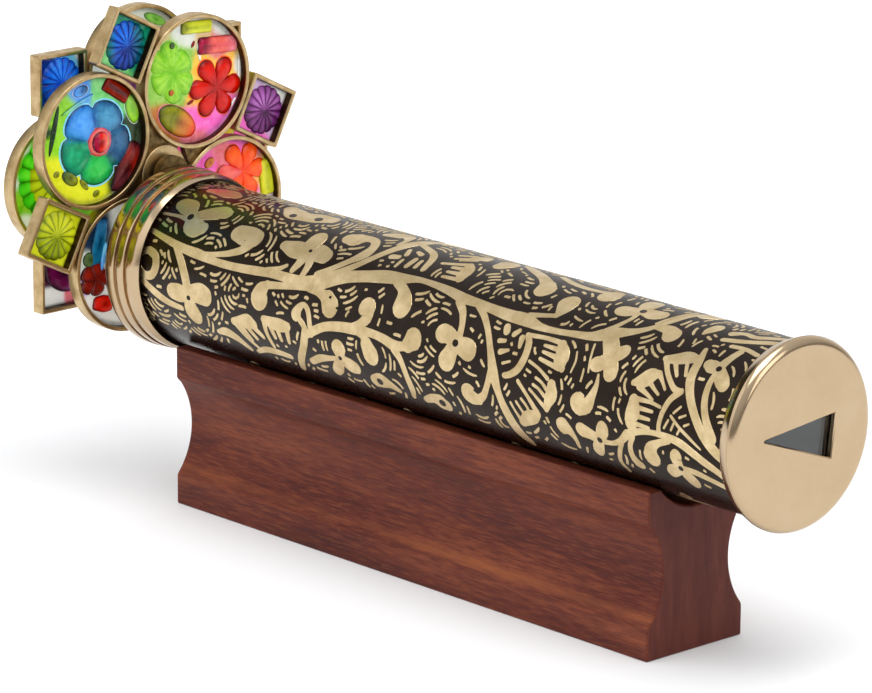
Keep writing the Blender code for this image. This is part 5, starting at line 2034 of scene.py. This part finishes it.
@dataclass
class JewelWheel:
    """A free-turning wheel of four round and four square bezels with cast jewels."""

    name: str
    body: Body
    jewels: tuple[Jewel, ...]
    squares: tuple[Jewel, ...]
    bore: float = 1.8 * MM
    bezel_outer: float = 15.8 * MM
    bezel_wall: float = 1.0 * MM
    square_side: float = 14.2 * MM
    corner_outer: float = 0.5 * MM
    corner_inner: float = 0.25 * MM
    jewel_thickness: float = 1.0 * MM
    jewel_gap: float = 0.02 * MM
    round_lip: float = 0.32 * MM
    square_lip: float = 0.1 * MM
    slip: Flat = (0.75 * MM, -0.27 * MM)
    ease: float = 0.3 * MM
    hub_segments: int = 72
    bezel_segments: int = 112
    jewel_segments: int = 96
    edge_pitch: float = 0.6 * MM
    joint_radius: float = 0.75 * MM
    joint_inset: float = 0.35 * MM
    joint_steps: int = 8
    webs: tuple[float, float, float, float] = (30.0, 30.0, 30.0, 30.0)
    web_start: float = 3.0
    web_steps: int = 8
    web_insets: tuple[float, float] = (0.6 * MM, 1.1 * MM)

    def middle(self, node: str) -> Flat:
        """Middle of a node's box as (y, z)."""
        low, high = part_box(node)
        return ((low[1] + high[1]) / 2, (low[2] + high[2]) / 2)

    def build(self) -> None:
        """Builds and dresses the whole wheel."""
        hub = f"{self.name}_hub"
        low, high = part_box(hub)
        self.back_x, self.front_x = low[0], high[0]
        self.axle = self.middle(hub)
        bm = bmesh.new()
        section = ring_section((high[2] - low[2]) / 2, self.bore, low[0], high[0])
        turned(bm, eased(section, self.ease), self.axle, self.hub_segments)
        self.piece("hub_turned", bm, BEZEL_BRASS, (hub,))
        spots = []
        for number in range(1, 5):
            spots.append(self.round_place(number))
            self.square_place(number)
        self.solder(spots)

    def piece(
        self, name: str, bm: bmesh.types.BMesh, finish: Finish, nodes: tuple[str, ...], slot: str = "",
        inside: Callable[[Vector], bool] | None = None,
    ) -> None:
        """Stores one piece of the wheel on its body.

        Args:
            name: The piece's name, without the wheel's.
            bm: Its mesh.
            finish: Its finish.
            nodes: CAD nodes that it stands for.
            slot: The record's material slot, where it isn't the finish's own; not used.
            inside: Whether a point lies on a bezel's dull inner wall, which takes the darker finish of
                painted shade.
        """
        finishes = [finish]
        if inside:
            finishes.append(BEZEL_INSIDE_SHADE)
            for face in bm.faces:
                face.material_index = int(all(inside(vert.co) for vert in face.verts))
        dress_piece(store(f"{self.name}_{name}", bm), finishes, self.body, nodes, 32.0)

    def round_place(self, number: int) -> Flat:
        """Builds one round bezel with its jewel.

        Args:
            number: Place round the wheel, from 1.

        Returns:
            The jewel's middle.
        """
        jewel_node = f"{self.name}_round_jewel_{number}"
        spot = self.middle(jewel_node)
        bm = bmesh.new()
        inner = self.bezel_outer - self.bezel_wall
        section = ring_section(self.bezel_outer, inner, self.back_x, self.front_x)
        turned(bm, eased(section, self.ease), spot, self.bezel_segments)

        def inside(place: Vector) -> bool:
            """Whether a point lies on the bezel's inner wall."""
            return math.hypot(place.y - spot[0], place.z - spot[1]) < inner + self.jewel_gap

        nodes = (f"{self.name}_round_bezel_{number}",)
        self.piece(f"round_rim_{number}", bm, BEZEL_BRASS, nodes, inside=inside)
        low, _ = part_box(jewel_node)
        face, radius = low[0] + self.jewel_thickness, inner - self.jewel_gap
        jewel = self.jewels[number - 1]
        cast = Caster(spot, face, radius, self.slip)
        cast.ground(jewel, oval(radius, radius, self.jewel_segments), low[0], self.round_lip)
        self.piece(f"round_cast_{number}", cast.bm, RESIN, (jewel_node,), jewel.slot)
        beads = Caster(spot, face, radius, self.slip)
        for bead in jewel.beads:
            beads.bead(bead)
        slot = jewel.beads[0].tints[0].value[0]
        self.piece(f"beads_{number}", beads.bm, RESIN, (f"{self.name}_flower_bead_{number}",), slot)
        return spot

    def square_loop(self, side: float, turn: float, ease: float) -> list[Flat]:
        """Lays a square's eased outline about its middle.

        Args:
            side: Its side.
            turn: The angle that a corner points to.
            ease: How far its corners are rounded.

        Returns:
            The outline.
        """
        reach = side / math.sqrt(2)
        corners = turned_points([(reach, 0.0), (0.0, reach), (-reach, 0.0), (0.0, -reach)], turn)
        return eased(corners, ease, 6)

    def square_bezel(self, node: str, name: str, spot: Flat, turn: float) -> None:
        """Builds one square bezel.

        Args:
            node: The CAD node that it stands for.
            name: The piece's name, without the wheel's.
            spot: Its middle.
            turn: The angle that its outer corner points to.
        """
        outer, inner = self.square_side, self.square_side - 2 * self.bezel_wall
        chamfer = self.ease * 0.8
        bm = bmesh.new()
        rings = []
        for x, side in (
            (self.front_x, outer - 2 * chamfer), (self.front_x - chamfer, outer),
            (self.back_x + chamfer, outer), (self.back_x, outer - 2 * chamfer),
            (self.back_x, inner + 2 * chamfer), (self.back_x + chamfer, inner),
            (self.front_x - chamfer, inner), (self.front_x, inner + 2 * chamfer),
        ):
            ease = self.corner_outer if side > inner + 1 * MM else self.corner_inner
            loop = self.square_loop(side, turn, ease)
            rings.append([Vector((x, spot[0] + y, spot[1] + z)) for y, z in loop])
        loft(bm, rings, wrap=True)

        def inside(place: Vector) -> bool:
            """Whether a point lies on the bezel's inner wall."""
            along, over = turned_points([(place.y - spot[0], place.z - spot[1])], -turn)[0]
            return abs(along) + abs(over) < inner / math.sqrt(2) + self.jewel_gap

        self.piece(name, bm, BEZEL_BRASS, (node,), inside=inside)

    def square_place(self, number: int) -> None:
        """Builds one square bezel with its daisy jewel.

        Args:
            number: Place round the wheel, from 1.
        """
        frame_node = f"{self.name}_square_bezel_{number}"
        jewel_node = f"{self.name}_square_jewel_{number}"
        spot = self.middle(frame_node)
        turn = math.atan2(spot[1] - self.axle[1], spot[0] - self.axle[0])
        self.square_bezel(frame_node, f"square_rim_{number}", spot, turn)
        low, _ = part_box(jewel_node)
        side = self.square_side - 2 * self.bezel_wall - 2 * self.jewel_gap
        jewel = self.squares[number - 1]
        cast = Caster(spot, low[0] + self.jewel_thickness, side / 2, self.slip)
        loop = []
        corners = self.square_loop(side, turn, self.corner_inner)
        for first, second in zip(corners, corners[1:] + corners[:1]):
            across, up = second[0] - first[0], second[1] - first[1]
            parts = max(1, int(math.hypot(across, up) / self.edge_pitch))
            for part in range(parts):
                share = part / parts
                loop.append((first[0] + across * share, first[1] + up * share))
        cast.ground(jewel, loop, low[0], self.square_lip)
        for bead in jewel.beads:
            cast.bead(bead)
        self.piece(f"square_cast_{number}", cast.bm, RESIN, (jewel_node,), jewel.slot)

    def solder(self, spots: list[Flat]) -> None:
        """Adds the small beads of solder that join the bezels.

        Args:
            spots: Middles of the round jewels in order.
        """
        bm = bmesh.new()
        joints: list[Flat] = []
        for first, second in zip(spots, spots[1:] + spots[:1]):
            joints.append(((first[0] + second[0]) / 2, (first[1] + second[1]) / 2))
        for number in range(1, 5):
            square = self.middle(f"{self.name}_square_bezel_{number}")
            for spot in spots:
                away = Vector(square) - Vector(spot)
                if away.length < self.bezel_outer + self.square_side * 0.6:
                    touch = Vector(spot) + away.normalized() * (self.bezel_outer + 0.12 * MM)
                    joints.append((touch.x, touch.y))
        half = (self.front_x - self.back_x) / 2 - self.joint_inset
        for joint in joints:
            section = []
            for step in range(self.joint_steps + 1):
                angle = math.pi * step / self.joint_steps
                x = (self.front_x + self.back_x) / 2 + math.cos(angle) * half
                radius = self.joint_radius * math.sin(angle) ** 0.5 if 0 < step < self.joint_steps else 0.0
                section.append((x, radius))
            turned(bm, section, joint, 16)
        for first, second, reach in zip(spots, spots[1:] + spots[:1], self.webs):
            self.web(bm, Vector(first), Vector(second), reach)
        self.piece("solder", bm, SOLDER_AND_BOSS_SHADE, ())

    def web(self, bm: bmesh.types.BMesh, first: Vector, second: Vector, reach: float) -> None:
        """Fills the corner between two round bezels on the hub's side.

        Args:
            bm: The mesh to add to.
            first: Middle of one bezel as (y, z).
            second: Middle of the other.
            reach: How far round each bezel the solder runs, in degrees.
        """
        shape: list[Flat] = []
        radius = self.bezel_outer * 0.995
        for start, other in ((first, second), (second, first)):
            line = (other - start).normalized()
            inward = Vector(self.axle) - start
            side = 1.0 if line.x * inward.y - line.y * inward.x > 0 else -1.0
            curve = []
            for step in range(self.web_steps + 1):
                turn = math.radians(self.web_start + (reach - self.web_start) * step / self.web_steps)
                cos, sin = math.cos(turn), side * math.sin(turn)
                y, z = line.x * cos - line.y * sin, line.x * sin + line.y * cos
                curve.append((start.x + y * radius, start.y + z * radius))
            shape += curve if start is first else curve[::-1]
        places = (self.back_x + self.web_insets[0], self.front_x - self.web_insets[1])
        loft(bm, [[Vector((x, y, z)) for y, z in shape] for x in places])


S, T = Shape, Tint
NEAR_JEWELS = (
    Jewel(
        (
            Spot(T.BEIGE, -0.8, 0.55, 0.30, 1.0), Spot(T.PALE_LIME, -0.45, 0.2, 0.45),
            Spot(T.CLEAR, -0.15, 0.8, 0.25), Spot(T.BEIGE, 0.2, 0.68, 0.20, 1.0),
            Spot(T.CLEAR, 0.6, 0.75, 0.20), Spot(T.ROSE, 0.5, 0.5, 0.25, 0.9),
            Spot(T.AMBER, 0.2, 0.12, 0.30, 0.9), Spot(T.AMBER, 0.65, 0.05, 0.32, 0.9),
            # The white spot at the right edge is a painted highlight.
            Spot(T.AMBER, 0.1, -0.25, 0.22), Spot(T.WHITE, 0.93, 0.1, 0.18),
            Spot(T.PINK, 0.1, -0.62, 0.26, 0.9), Spot(T.PINK, 0.55, -0.66, 0.36, 0.9),
            Spot(T.ROSE, 0.05, -0.95, 0.22),
            Spot(T.BEAD_OCHRE, -0.62, -0.62, 0.28),
        ),
        (
            Bead(S.RIBBED6, (T.BEAD_LIME,), -0.47, 0.19, 0.42, 0.53, 30.0, 0.9 * MM, halo=T.PALE_LIME),
            Bead(S.FLOWER6, (T.BEAD_RED,), 0.42, -0.16, 0.53, 0.50, 0.0, halo=T.BEAD_ORANGE),
            Bead(S.BAR, (T.BEAD_CRIMSON, T.BEAD_CRIMSON, T.BEAD_CORAL, T.BEAD_CORAL, T.BEAD_CORAL,
                 T.ROSE, T.ROSE), 0.47, 0.51, 0.40, 0.14, -3.0, 1.0 * MM),
            Bead(S.BAR, (T.BEAD_OLIVE, T.BEAD_YELLOW, T.BEAD_YELLOW, T.BEAD_YELLOW),
                 0.04, 0.85, 0.31, 0.105, -3.0, 0.9 * MM),
            Bead(S.OVAL, (T.BEAD_OLIVE, T.BEAD_OLIVE, T.BEAD_OCHRE, T.BEAD_ORANGE),
                 -0.36, -0.60, 0.42, 0.22, -32.0, 0.9 * MM, halo=T.ROSE),
            Bead(S.OVAL, (T.BEAD_MOSS,), -0.47, 0.62, 0.05, 0.05, 0.0, 0.3 * MM, 0.6 * MM),
            Bead(S.OVAL, (T.BEAD_OCHRE,), -0.50, -0.12, 0.05, 0.05, 0.0, 0.3 * MM, 0.7 * MM),
            # These three thin white ovals are painted highlights: glints on the resin.
            Bead(S.OVAL, (T.WHITE,), 0.80, -0.46, 0.17, 0.03, 50.0, 0.25 * MM),
            Bead(S.OVAL, (T.WHITE,), 0.92, 0.08, 0.30, 0.03, 88.0, 0.25 * MM),
            Bead(S.OVAL, (T.WHITE,), 0.10, 0.44, 0.16, 0.03, 100.0, 0.25 * MM),
            Bead(S.OVAL, (T.BEAD_BRICK,), -0.02, 0.58, 0.06, 0.03, 60.0, 0.25 * MM),
            Bead(S.OVAL, (T.BEAD_BRICK,), -0.08, -0.34, 0.07, 0.03, 20.0, 0.25 * MM),
        ),
        "resin_clear",
    ),
    Jewel(
        (
            Spot(T.LIME, -0.62, 0.45, 0.34, 0.9), Spot(T.LIME, -0.72, 0.05, 0.30, 0.9),
            # The dark spot at the left edge is painted shade beside the green strip.
            Spot(T.BEAD_DARK, -0.86, 0.25, 0.14), Spot(T.YELLOW, -0.75, -0.35, 0.30, 0.9),
            Spot(T.YELLOW, -0.35, -0.65, 0.40, 0.9), Spot(T.YELLOW, 0.08, -0.82, 0.34, 0.9),
            Spot(T.SKY, -0.25, 0.84, 0.20), Spot(T.PALE_GREEN, 0.2, 0.85, 0.20),
            Spot(T.PALE_GREEN, 0.7, 0.6, 0.22, 0.6), Spot(T.BEAD_MOSS, 0.86, 0.08, 0.24, 0.4),
            Spot(T.BEAD_DARK, 0.92, 0.38, 0.16), Spot(T.BEAD_MAROON, 0.75, -0.5, 0.36, 0.7),
            Spot(T.BEAD_MOSS, 0.4, -0.75, 0.18, 0.5),
        ),
        (
            Bead(S.FLOWER5, (T.BEAD_SLATE, T.BEAD_STEEL, T.BEAD_BLUE, T.BEAD_EMERALD, T.BEAD_GREEN),
                 0.04, -0.02, 0.70, 0.68, -14.0, 0.9 * MM, halo=T.CYAN),
            Bead(S.OVAL, (T.BEAD_CORAL, T.ROSE),
                 0.10, -0.02, 0.235, 0.235, 0.0, 0.7 * MM, 0.6 * MM, T.ROSE),
            Bead(S.OVAL, (T.BEAD_CRIMSON, T.BEAD_CRIMSON, T.BEAD_RED, T.BEAD_CORAL, T.BEIGE),
                 0.10, -0.02, 0.17, 0.17, 0.0, 0.6 * MM, 1.1 * MM),
            Bead(S.BAR, (T.BEAD_BRICK,), 0.47, 0.74, 0.28, 0.12, -33.0, 0.9 * MM),
            Bead(S.OVAL, (T.LIME, T.PALE_LIME), 0.78, 0.40, 0.25, 0.12, 108.0, 0.8 * MM, halo=T.WHITE),
            Bead(S.SHARD, (T.BEAD_MAROON, T.BEAD_MAROON, T.BEAD_BRICK, T.BEAD_MAROON),
                 0.66, -0.52, 0.46, 0.22, 50.0, 0.8 * MM),
            Bead(S.OVAL, (T.SKY, T.BEAD_SLATE), -0.23, 0.82, 0.15, 0.09, 12.0, 0.5 * MM, halo=T.WHITE),
            # This thin dark oval is painted shade along the left of the green strip.
            Bead(S.OVAL, (T.BEAD_DARK,), -0.76, 0.27, 0.40, 0.05, 76.0, 0.2 * MM),
            Bead(S.OVAL, (T.PALE_GREEN, T.SKY), -0.30, 0.62, 0.34, 0.03, 22.0, 0.3 * MM, 0.2 * MM),
            Bead(S.OVAL, (T.BEAD_MOSS, T.BEAD_OLIVE),
                 -0.46, -0.52, 0.17, 0.10, -35.0, 0.4 * MM, halo=T.BEAD_OLIVE),
            Bead(S.OVAL, (T.BEAD_OLIVE,), -0.72, -0.42, 0.06, 0.05, 10.0, 0.3 * MM),
            Bead(S.OVAL, (T.BEAD_OLIVE,), -0.18, -0.66, 0.12, 0.05, -50.0, 0.3 * MM),
            Bead(S.OVAL, (T.BEAD_OLIVE,), 0.06, -0.84, 0.07, 0.05, 20.0, 0.3 * MM),
        ),
        "resin_yellow",
    ),
    Jewel(
        (
            Spot(T.WHITE, -0.4, -0.7, 0.5, 1.0), Spot(T.WHITE, 0.5, -0.3, 0.6, 0.9),
            Spot(T.BEAD_SLATE, -0.62, 0.62, 0.30, 0.15), Spot(T.CLEAR, -0.82, 0.1, 0.2, 0.5),
            Spot(T.LILAC, -0.9, -0.2, 0.2, 0.8), Spot(T.CLEAR, 0.2, 0.7, 0.5, 0.9),
        ),
        (
            Bead(S.FLOWER5, (T.BEAD_BRICK,), 0.20, -0.02, 0.42, 0.42),
            Bead(S.SHARD, (T.BEAD_TEAL, T.BEAD_TEAL, T.BEAD_STEEL),
                 -0.58, 0.42, 0.42, 0.15, 70.0, 0.8 * MM),
            Bead(S.OVAL, (T.SKY, T.CYAN), -0.50, 0.20, 0.24, 0.05, 78.0, 0.5 * MM, 0.5 * MM),
            Bead(S.OVAL, (T.BEAD_MOSS,), -0.76, 0.18, 0.13, 0.12, 0.0, 0.6 * MM, halo=T.CLEAR),
            Bead(S.FLOWER5, (T.BEAD_BRICK,), -0.66, -0.15, 0.30, 0.28, 0.0, 0.9 * MM),
            Bead(S.SHARD, (T.BEAD_RED,), -0.49, -0.56, 0.22, 0.16, -25.0, 0.8 * MM),
            Bead(S.BAR, (T.BEAD_YELLOW,), 0.25, -0.75, 0.24, 0.10, 5.0),
            Bead(S.OVAL, (T.BEAD_ORANGE,), 0.20, 0.72, 0.24, 0.11),
        ),
        "resin_clear",
    ),
    Jewel(
        (
            Spot(T.PINK, -0.45, 0.62, 0.3), Spot(T.ROSE, -0.1, 0.8, 0.25), Spot(T.PINK, 0.2, 0.9, 0.2),
            Spot(T.PINK, 0.0, 0.2, 0.4), Spot(T.ROSE, 0.6, 0.75, 0.2), Spot(T.AMBER, 0.75, 0.5, 0.22),
            Spot(T.PINK, -0.5, -0.3, 0.6), Spot(T.CLEAR, 0.3, -0.6, 0.4),
        ),
        (
            Bead(S.FLOWER6, (T.BEAD_ORANGE, T.BEAD_ORANGE, T.BEAD_ORANGE, T.BEAD_CORAL, T.BEAD_ORANGE,
                 T.BEAD_ORANGE), 0.29, 0.45, 0.52, 0.50, 0.0, halo=T.BEAD_CORAL),
            Bead(S.BAR, (T.BEAD_YELLOW,), 0.81, 0.28, 0.30, 0.14, 97.0, 0.9 * MM, halo=T.AMBER),
            Bead(S.FLOWER5, (T.BEAD_EMERALD,), -0.36, -0.36, 0.34, 0.34, 10.0),
            Bead(S.BAR, (T.BEAD_LIME,), 0.40, -0.52, 0.26, 0.11, -30.0),
            Bead(S.OVAL, (T.BEAD_OCHRE,), -0.36, 0.68, 0.11, 0.08, 30.0, 0.5 * MM),
        ),
        "resin_pink",
    ),
)
FAR_JEWELS = (
    Jewel(
        (Spot(T.PINK, -0.3, 0.3, 0.6), Spot(T.PINK, 0.5, 0.4, 0.4), Spot(T.CLEAR, 0.2, -0.7, 0.4)),
        (
            Bead(S.FLOWER6, (T.BEAD_YELLOW,), 0.10, -0.05, 0.50, 0.50),
            Bead(S.BAR, (T.BEAD_BLUE,), -0.20, 0.74, 0.28, 0.10, 12.0),
            Bead(S.OVAL, (T.BEAD_GREEN,), 0.66, -0.60, 0.18, 0.10, 45.0),
            Bead(S.BAR, (T.BEAD_RED,), -0.68, -0.40, 0.24, 0.10, -60.0),
        ),
        "resin_pink",
    ),
    Jewel(
        (Spot(T.WHITE, -0.4, 0.0, 0.6), Spot(T.CLEAR, 0.3, 0.8, 0.3), Spot(T.LILAC, 0.4, -0.4, 0.4)),
        (
            Bead(S.FLOWER5, (T.BEAD_PURPLE,), -0.12, -0.10, 0.48, 0.48),
            Bead(S.OVAL, (T.LEAF,), 0.34, 0.78, 0.24, 0.08, -25.0, 0.7 * MM),
            Bead(S.BAR, (T.BEAD_TEAL,), -0.64, 0.56, 0.20, 0.09, 40.0),
            Bead(S.BAR, (T.BEAD_ORANGE,), 0.68, -0.30, 0.24, 0.10, 75.0),
        ),
        "resin_clear",
    ),
    Jewel(
        (
            Spot(T.WHITE, -0.95, 0.1, 0.14), Spot(T.WHITE, -0.8, 0.62, 0.14),
            Spot(T.WHITE, -0.75, -0.6, 0.16),
            Spot(T.LIME, -0.6, 0.1, 0.5), Spot(T.LIME, 0.3, 0.0, 0.7), Spot(T.BEAD_LIME, 0.0, -0.85, 0.4),
        ),
        (
            Bead(S.DAISY, (T.GREEN,), -0.27, 0.10, 0.62, 0.64, 0.0, 0.7 * MM),
            Bead(S.DAISY, (T.YELLOW,), -0.17, 0.10, 0.53, 0.52, 0.0, 0.7 * MM, 0.35 * MM),
            Bead(S.BAR, (T.BEAD_RED,), 0.42, 0.62, 0.26, 0.11, -35.0),
            Bead(S.FLOWER5, (T.BEAD_BLUE,), 0.62, -0.24, 0.30, 0.30),
            Bead(S.OVAL, (T.BEAD_ORANGE,), 0.12, -0.76, 0.22, 0.11, 10.0),
        ),
        "resin_green",
    ),
    Jewel(
        (Spot(T.SKY, 0.0, 0.3, 0.6), Spot(T.CYAN, 0.5, -0.4, 0.5), Spot(T.SKY, -0.6, -0.5, 0.4)),
        (
            Bead(S.FLOWER5, (T.BEAD_CORAL,), 0.0, -0.36, 0.40, 0.40),
            Bead(S.OVAL, (T.BEAD_GREEN,), -0.56, 0.42, 0.26, 0.13, 50.0),
            Bead(S.BAR, (T.BEAD_YELLOW,), 0.38, 0.52, 0.30, 0.12, -20.0),
            Bead(S.BAR, (T.BEAD_PURPLE,), 0.72, -0.30, 0.18, 0.09, 80.0),
        ),
        "resin_blue",
    ),
)


def daisy(*tints: Tint, turn: float = 0.0) -> tuple[Bead, ...]:
    """The daisy that fills a square jewel, its tints from left to right."""
    return (Bead(Shape.DAISY, tints, 0.0, 0.0, 0.96, 0.96, turn, 0.85 * MM),)


NEAR_SQUARES = (
    Jewel(
        (Spot(T.PALE_GREEN, -0.6, -0.9, 0.6), Spot(T.BEAD_EMERALD, 0.4, 0.0, 0.7, 0.8)),
        daisy(T.BEAD_EMERALD, T.BLUE, T.BLUE, T.BEAD_TEAL, T.BEAD_EMERALD), "resin_green",
    ),
    Jewel((Spot(T.YELLOW, 0.0, 0.0),), daisy(T.LIME_YELLOW, T.LIME_YELLOW, T.YELLOW), "resin_yellow"),
    Jewel((Spot(T.AMBER, 0.0, 0.0),), daisy(T.BEAD_ORANGE, T.BEAD_OCHRE), "resin_yellow"),
    Jewel(
        (Spot(T.LILAC, 0.3, 0.0, 0.5), Spot(T.WHITE, 0.9, 0.7, 0.4), Spot(T.PINK, -0.8, -0.8, 0.5)),
        daisy(T.BEAD_PURPLE, T.PURPLE, T.BEAD_PURPLE, T.PURPLE), "resin_purple",
    ),
)
FAR_SQUARES = (
    Jewel((Spot(T.YELLOW, 0.0, 0.0),), daisy(T.BEAD_YELLOW), "resin_yellow"),
    Jewel(
        (Spot(T.CYAN, 0.6, 0.6, 0.4), Spot(T.WHITE, 1.0, 0.9, 0.3), Spot(T.BLUE, -0.8, 0.0, 0.5, 0.2)),
        daisy(T.BLUE, T.SKY_BLUE, T.BLUE), "resin_blue",
    ),
    Jewel(
        (Spot(T.PLUM, -0.5, 0.6, 0.5, 0.5), Spot(T.WHITE, -0.6, -0.9, 0.4), Spot(T.ROSE, 0.6, -0.8, 0.3)),
        (Bead(S.OVAL, (T.PLUM, T.PLUM, T.PLUM, T.PURPLE), 0.0, 0.28, 0.96, 0.72, -35.0, 0.8 * MM),),
        "resin_clear",
    ),
    Jewel((Spot(T.ROSE, 0.0, 0.0),), daisy(T.BEAD_RED), "resin_pink"),
)


# The studio


@dataclass
class Studio:
    """A pale floor, soft lamps and the camera at the photograph's angle."""

    backdrop_way: Place = (-0.73, 0.68, 0.0)
    backdrop_edge: Flat = (0.35, 0.85)
    screen_way: Place = (-0.96, -0.12, 0.25)
    screen_edge: Flat = (0.87, 0.93)
    floor_half: float = 3.0
    floor_colour: Rgb = (236, 236, 236)
    floor_roughness: float = 0.9
    floor_specular: float = 0.1
    floor_lift: float = 0.13
    floor_far_lift: float = 0.75
    floor_fade: Flat = (0.15, 0.9)
    rotation: Place = (1.71692879, 0.75702089, -0.56909254)
    shift_mm: Place = (2.69722668, 48.55034256, 1152.30692121)
    focal_px: float = 5212.549
    image_width: int = 872
    sensor_width: float = 36.0
    lamp_target: Place = (0.0, 0.0, 0.05)
    lamps: tuple[tuple[str, Place, float, float], ...] = (
        ("top_softbox", (0.25, -0.15, 1.35), 1.0, 11.0),
        ("left_softbox", (-0.75, -1.15, 0.75), 1.6, 5.4),
        ("right_softbox", (1.5, 0.35, 0.75), 0.9, 4.5),
    )

    def camera(self) -> None:
        """Places the camera fitted to the photograph."""
        turn = Vector(self.rotation)
        matrix = Matrix.Rotation(turn.length, 3, turn.normalized())
        spot = -(matrix.transposed() @ Vector(self.shift_mm)) * MM
        lens = bpy.data.cameras.new("photo_camera")
        lens.sensor_width = self.sensor_width
        lens.lens = self.focal_px * lens.sensor_width / self.image_width
        lens.clip_start, lens.clip_end = 0.05, 20.0
        camera = link_object("photo_camera", lens)
        rows = [[matrix[0][i], -matrix[1][i], -matrix[2][i], spot[i]] for i in range(3)]
        camera.matrix_world = Matrix((*rows, (0.0, 0.0, 0.0, 1.0)))
        bpy.context.scene.camera = camera

    def floor(self) -> None:
        """Lays the floor that takes the shadow, lifted a little where the camera sees it, with more painted
        light further from the middle that fades the shadow's far edge.
        """
        half = self.floor_half
        mesh = bpy.data.meshes.new("floor")
        corners = [(-half, -half, 0), (half, -half, 0), (half, half, 0), (-half, half, 0)]
        mesh.from_pydata(corners, [], [(0, 1, 2, 3)])
        floor = link_object("floor", mesh)
        material = bpy.data.materials.new("pale_floor")
        material.use_nodes = True
        sheet = NodeSheet(material.node_tree)
        rays = sheet.add("ShaderNodeLightPath").outputs
        seen = sheet.maths("ADD", rays["Is Camera Ray"], rays["Is Transmission Ray"])
        seen = sheet.maths("MINIMUM", sheet.maths("ADD", seen, rays["Is Glossy Ray"]), 1.0)
        place = sheet.add("ShaderNodeTexCoord").outputs["Object"]
        away = sheet.add("ShaderNodeVectorMath", {0: place}, operation="LENGTH").outputs["Value"]
        # Painted light for the camera that grows away from the middle and fades the shadow's far edge.
        far = sheet.spread(away, *self.floor_fade, 0.0, self.floor_far_lift)
        far = sheet.maths("MULTIPLY", rays["Is Camera Ray"], far)
        sheet.fill(material.node_tree.nodes["Principled BSDF"], {
            "Base Color": linear(self.floor_colour),
            "Roughness": self.floor_roughness,
            "Specular IOR Level": self.floor_specular,
            "Emission Color": (1.0, 1.0, 1.0, 1.0),
            "Emission Strength": sheet.maths("ADD", sheet.maths("MULTIPLY", seen, self.floor_lift), far),
        })
        mesh.materials.append(material)

    def world(self) -> None:
        """Sets a pale room with a white backdrop and one dark screen, white to the camera."""
        world = bpy.data.worlds.new("room")
        bpy.context.scene.world = world
        world.use_nodes = True
        sheet = NodeSheet(world.node_tree)
        coords = sheet.add("ShaderNodeTexCoord").outputs["Generated"]
        height = sheet.add("ShaderNodeSeparateXYZ", {0: coords}).outputs["Z"]
        ramp = sheet.add("ShaderNodeValToRGB", {"Fac": sheet.spread(height, -1.0, 1.0, 0.0, 1.0)})
        stops = ramp.color_ramp.elements
        stops[0].position, stops[0].color = 0.45, (0.60, 0.58, 0.55, 1)
        stops[1].position, stops[1].color = 1.0, (0.82, 0.84, 0.88, 1)
        stops.new(0.55).color = (0.30, 0.29, 0.28, 1)
        stops.new(0.68).color = (0.55, 0.55, 0.56, 1)
        rays = sheet.add("ShaderNodeLightPath").outputs
        seen = sheet.maths("ADD", rays["Is Camera Ray"], rays["Is Transmission Ray"])
        around = ramp.outputs["Color"]
        for way, edge, colour in (
            (self.backdrop_way, self.backdrop_edge, (0.92, 0.92, 0.92, 1.0)),
            (self.screen_way, self.screen_edge, (0.05, 0.045, 0.03, 1.0)),
        ):
            facing = sheet.add("ShaderNodeVectorMath", {0: coords, 1: way}, operation="DOT_PRODUCT")
            share = sheet.spread(facing.outputs["Value"], *edge, 0.0, 1.0)
            around = sheet.blend(share, around, colour)
        colour = sheet.blend(sheet.maths("MINIMUM", seen, 1.0), around, (1.0, 1.0, 1.0, 1.0))
        sheet.fill(world.node_tree.nodes["Background"], {"Color": colour})

    def lights(self) -> None:
        """Hangs the softboxes."""
        for name, spot, size, power in self.lamps:
            lamp = bpy.data.lights.new(name, "AREA")
            lamp.shape, lamp.size, lamp.energy = "SQUARE", size, power
            holder = link_object(name, lamp)
            holder.location = spot
            way = Vector(self.lamp_target) - Vector(spot)
            holder.rotation_euler = way.to_track_quat("-Z", "Y").to_euler()

    def build(self) -> None:
        """Sets up everything round the object."""
        self.camera()
        self.floor()
        self.world()
        self.lights()


def main() -> None:
    """Builds the object piece by piece, then the studio."""
    bpy.context.scene.view_settings.view_transform = "Standard"
    Stand().build()
    Tube().build()
    EyepieceCap().build()
    Collar().build()
    Sight().build()
    AxleSet().build()
    near_webs = (54.0, 54.0, 30.0, 30.0)
    JewelWheel("near", Body.NEAR_WHEEL, NEAR_JEWELS, NEAR_SQUARES, webs=near_webs).build()
    JewelWheel("far", Body.FAR_WHEEL, FAR_JEWELS, FAR_SQUARES).build()
    Studio().build()


if __name__ == "__main__":
    main()
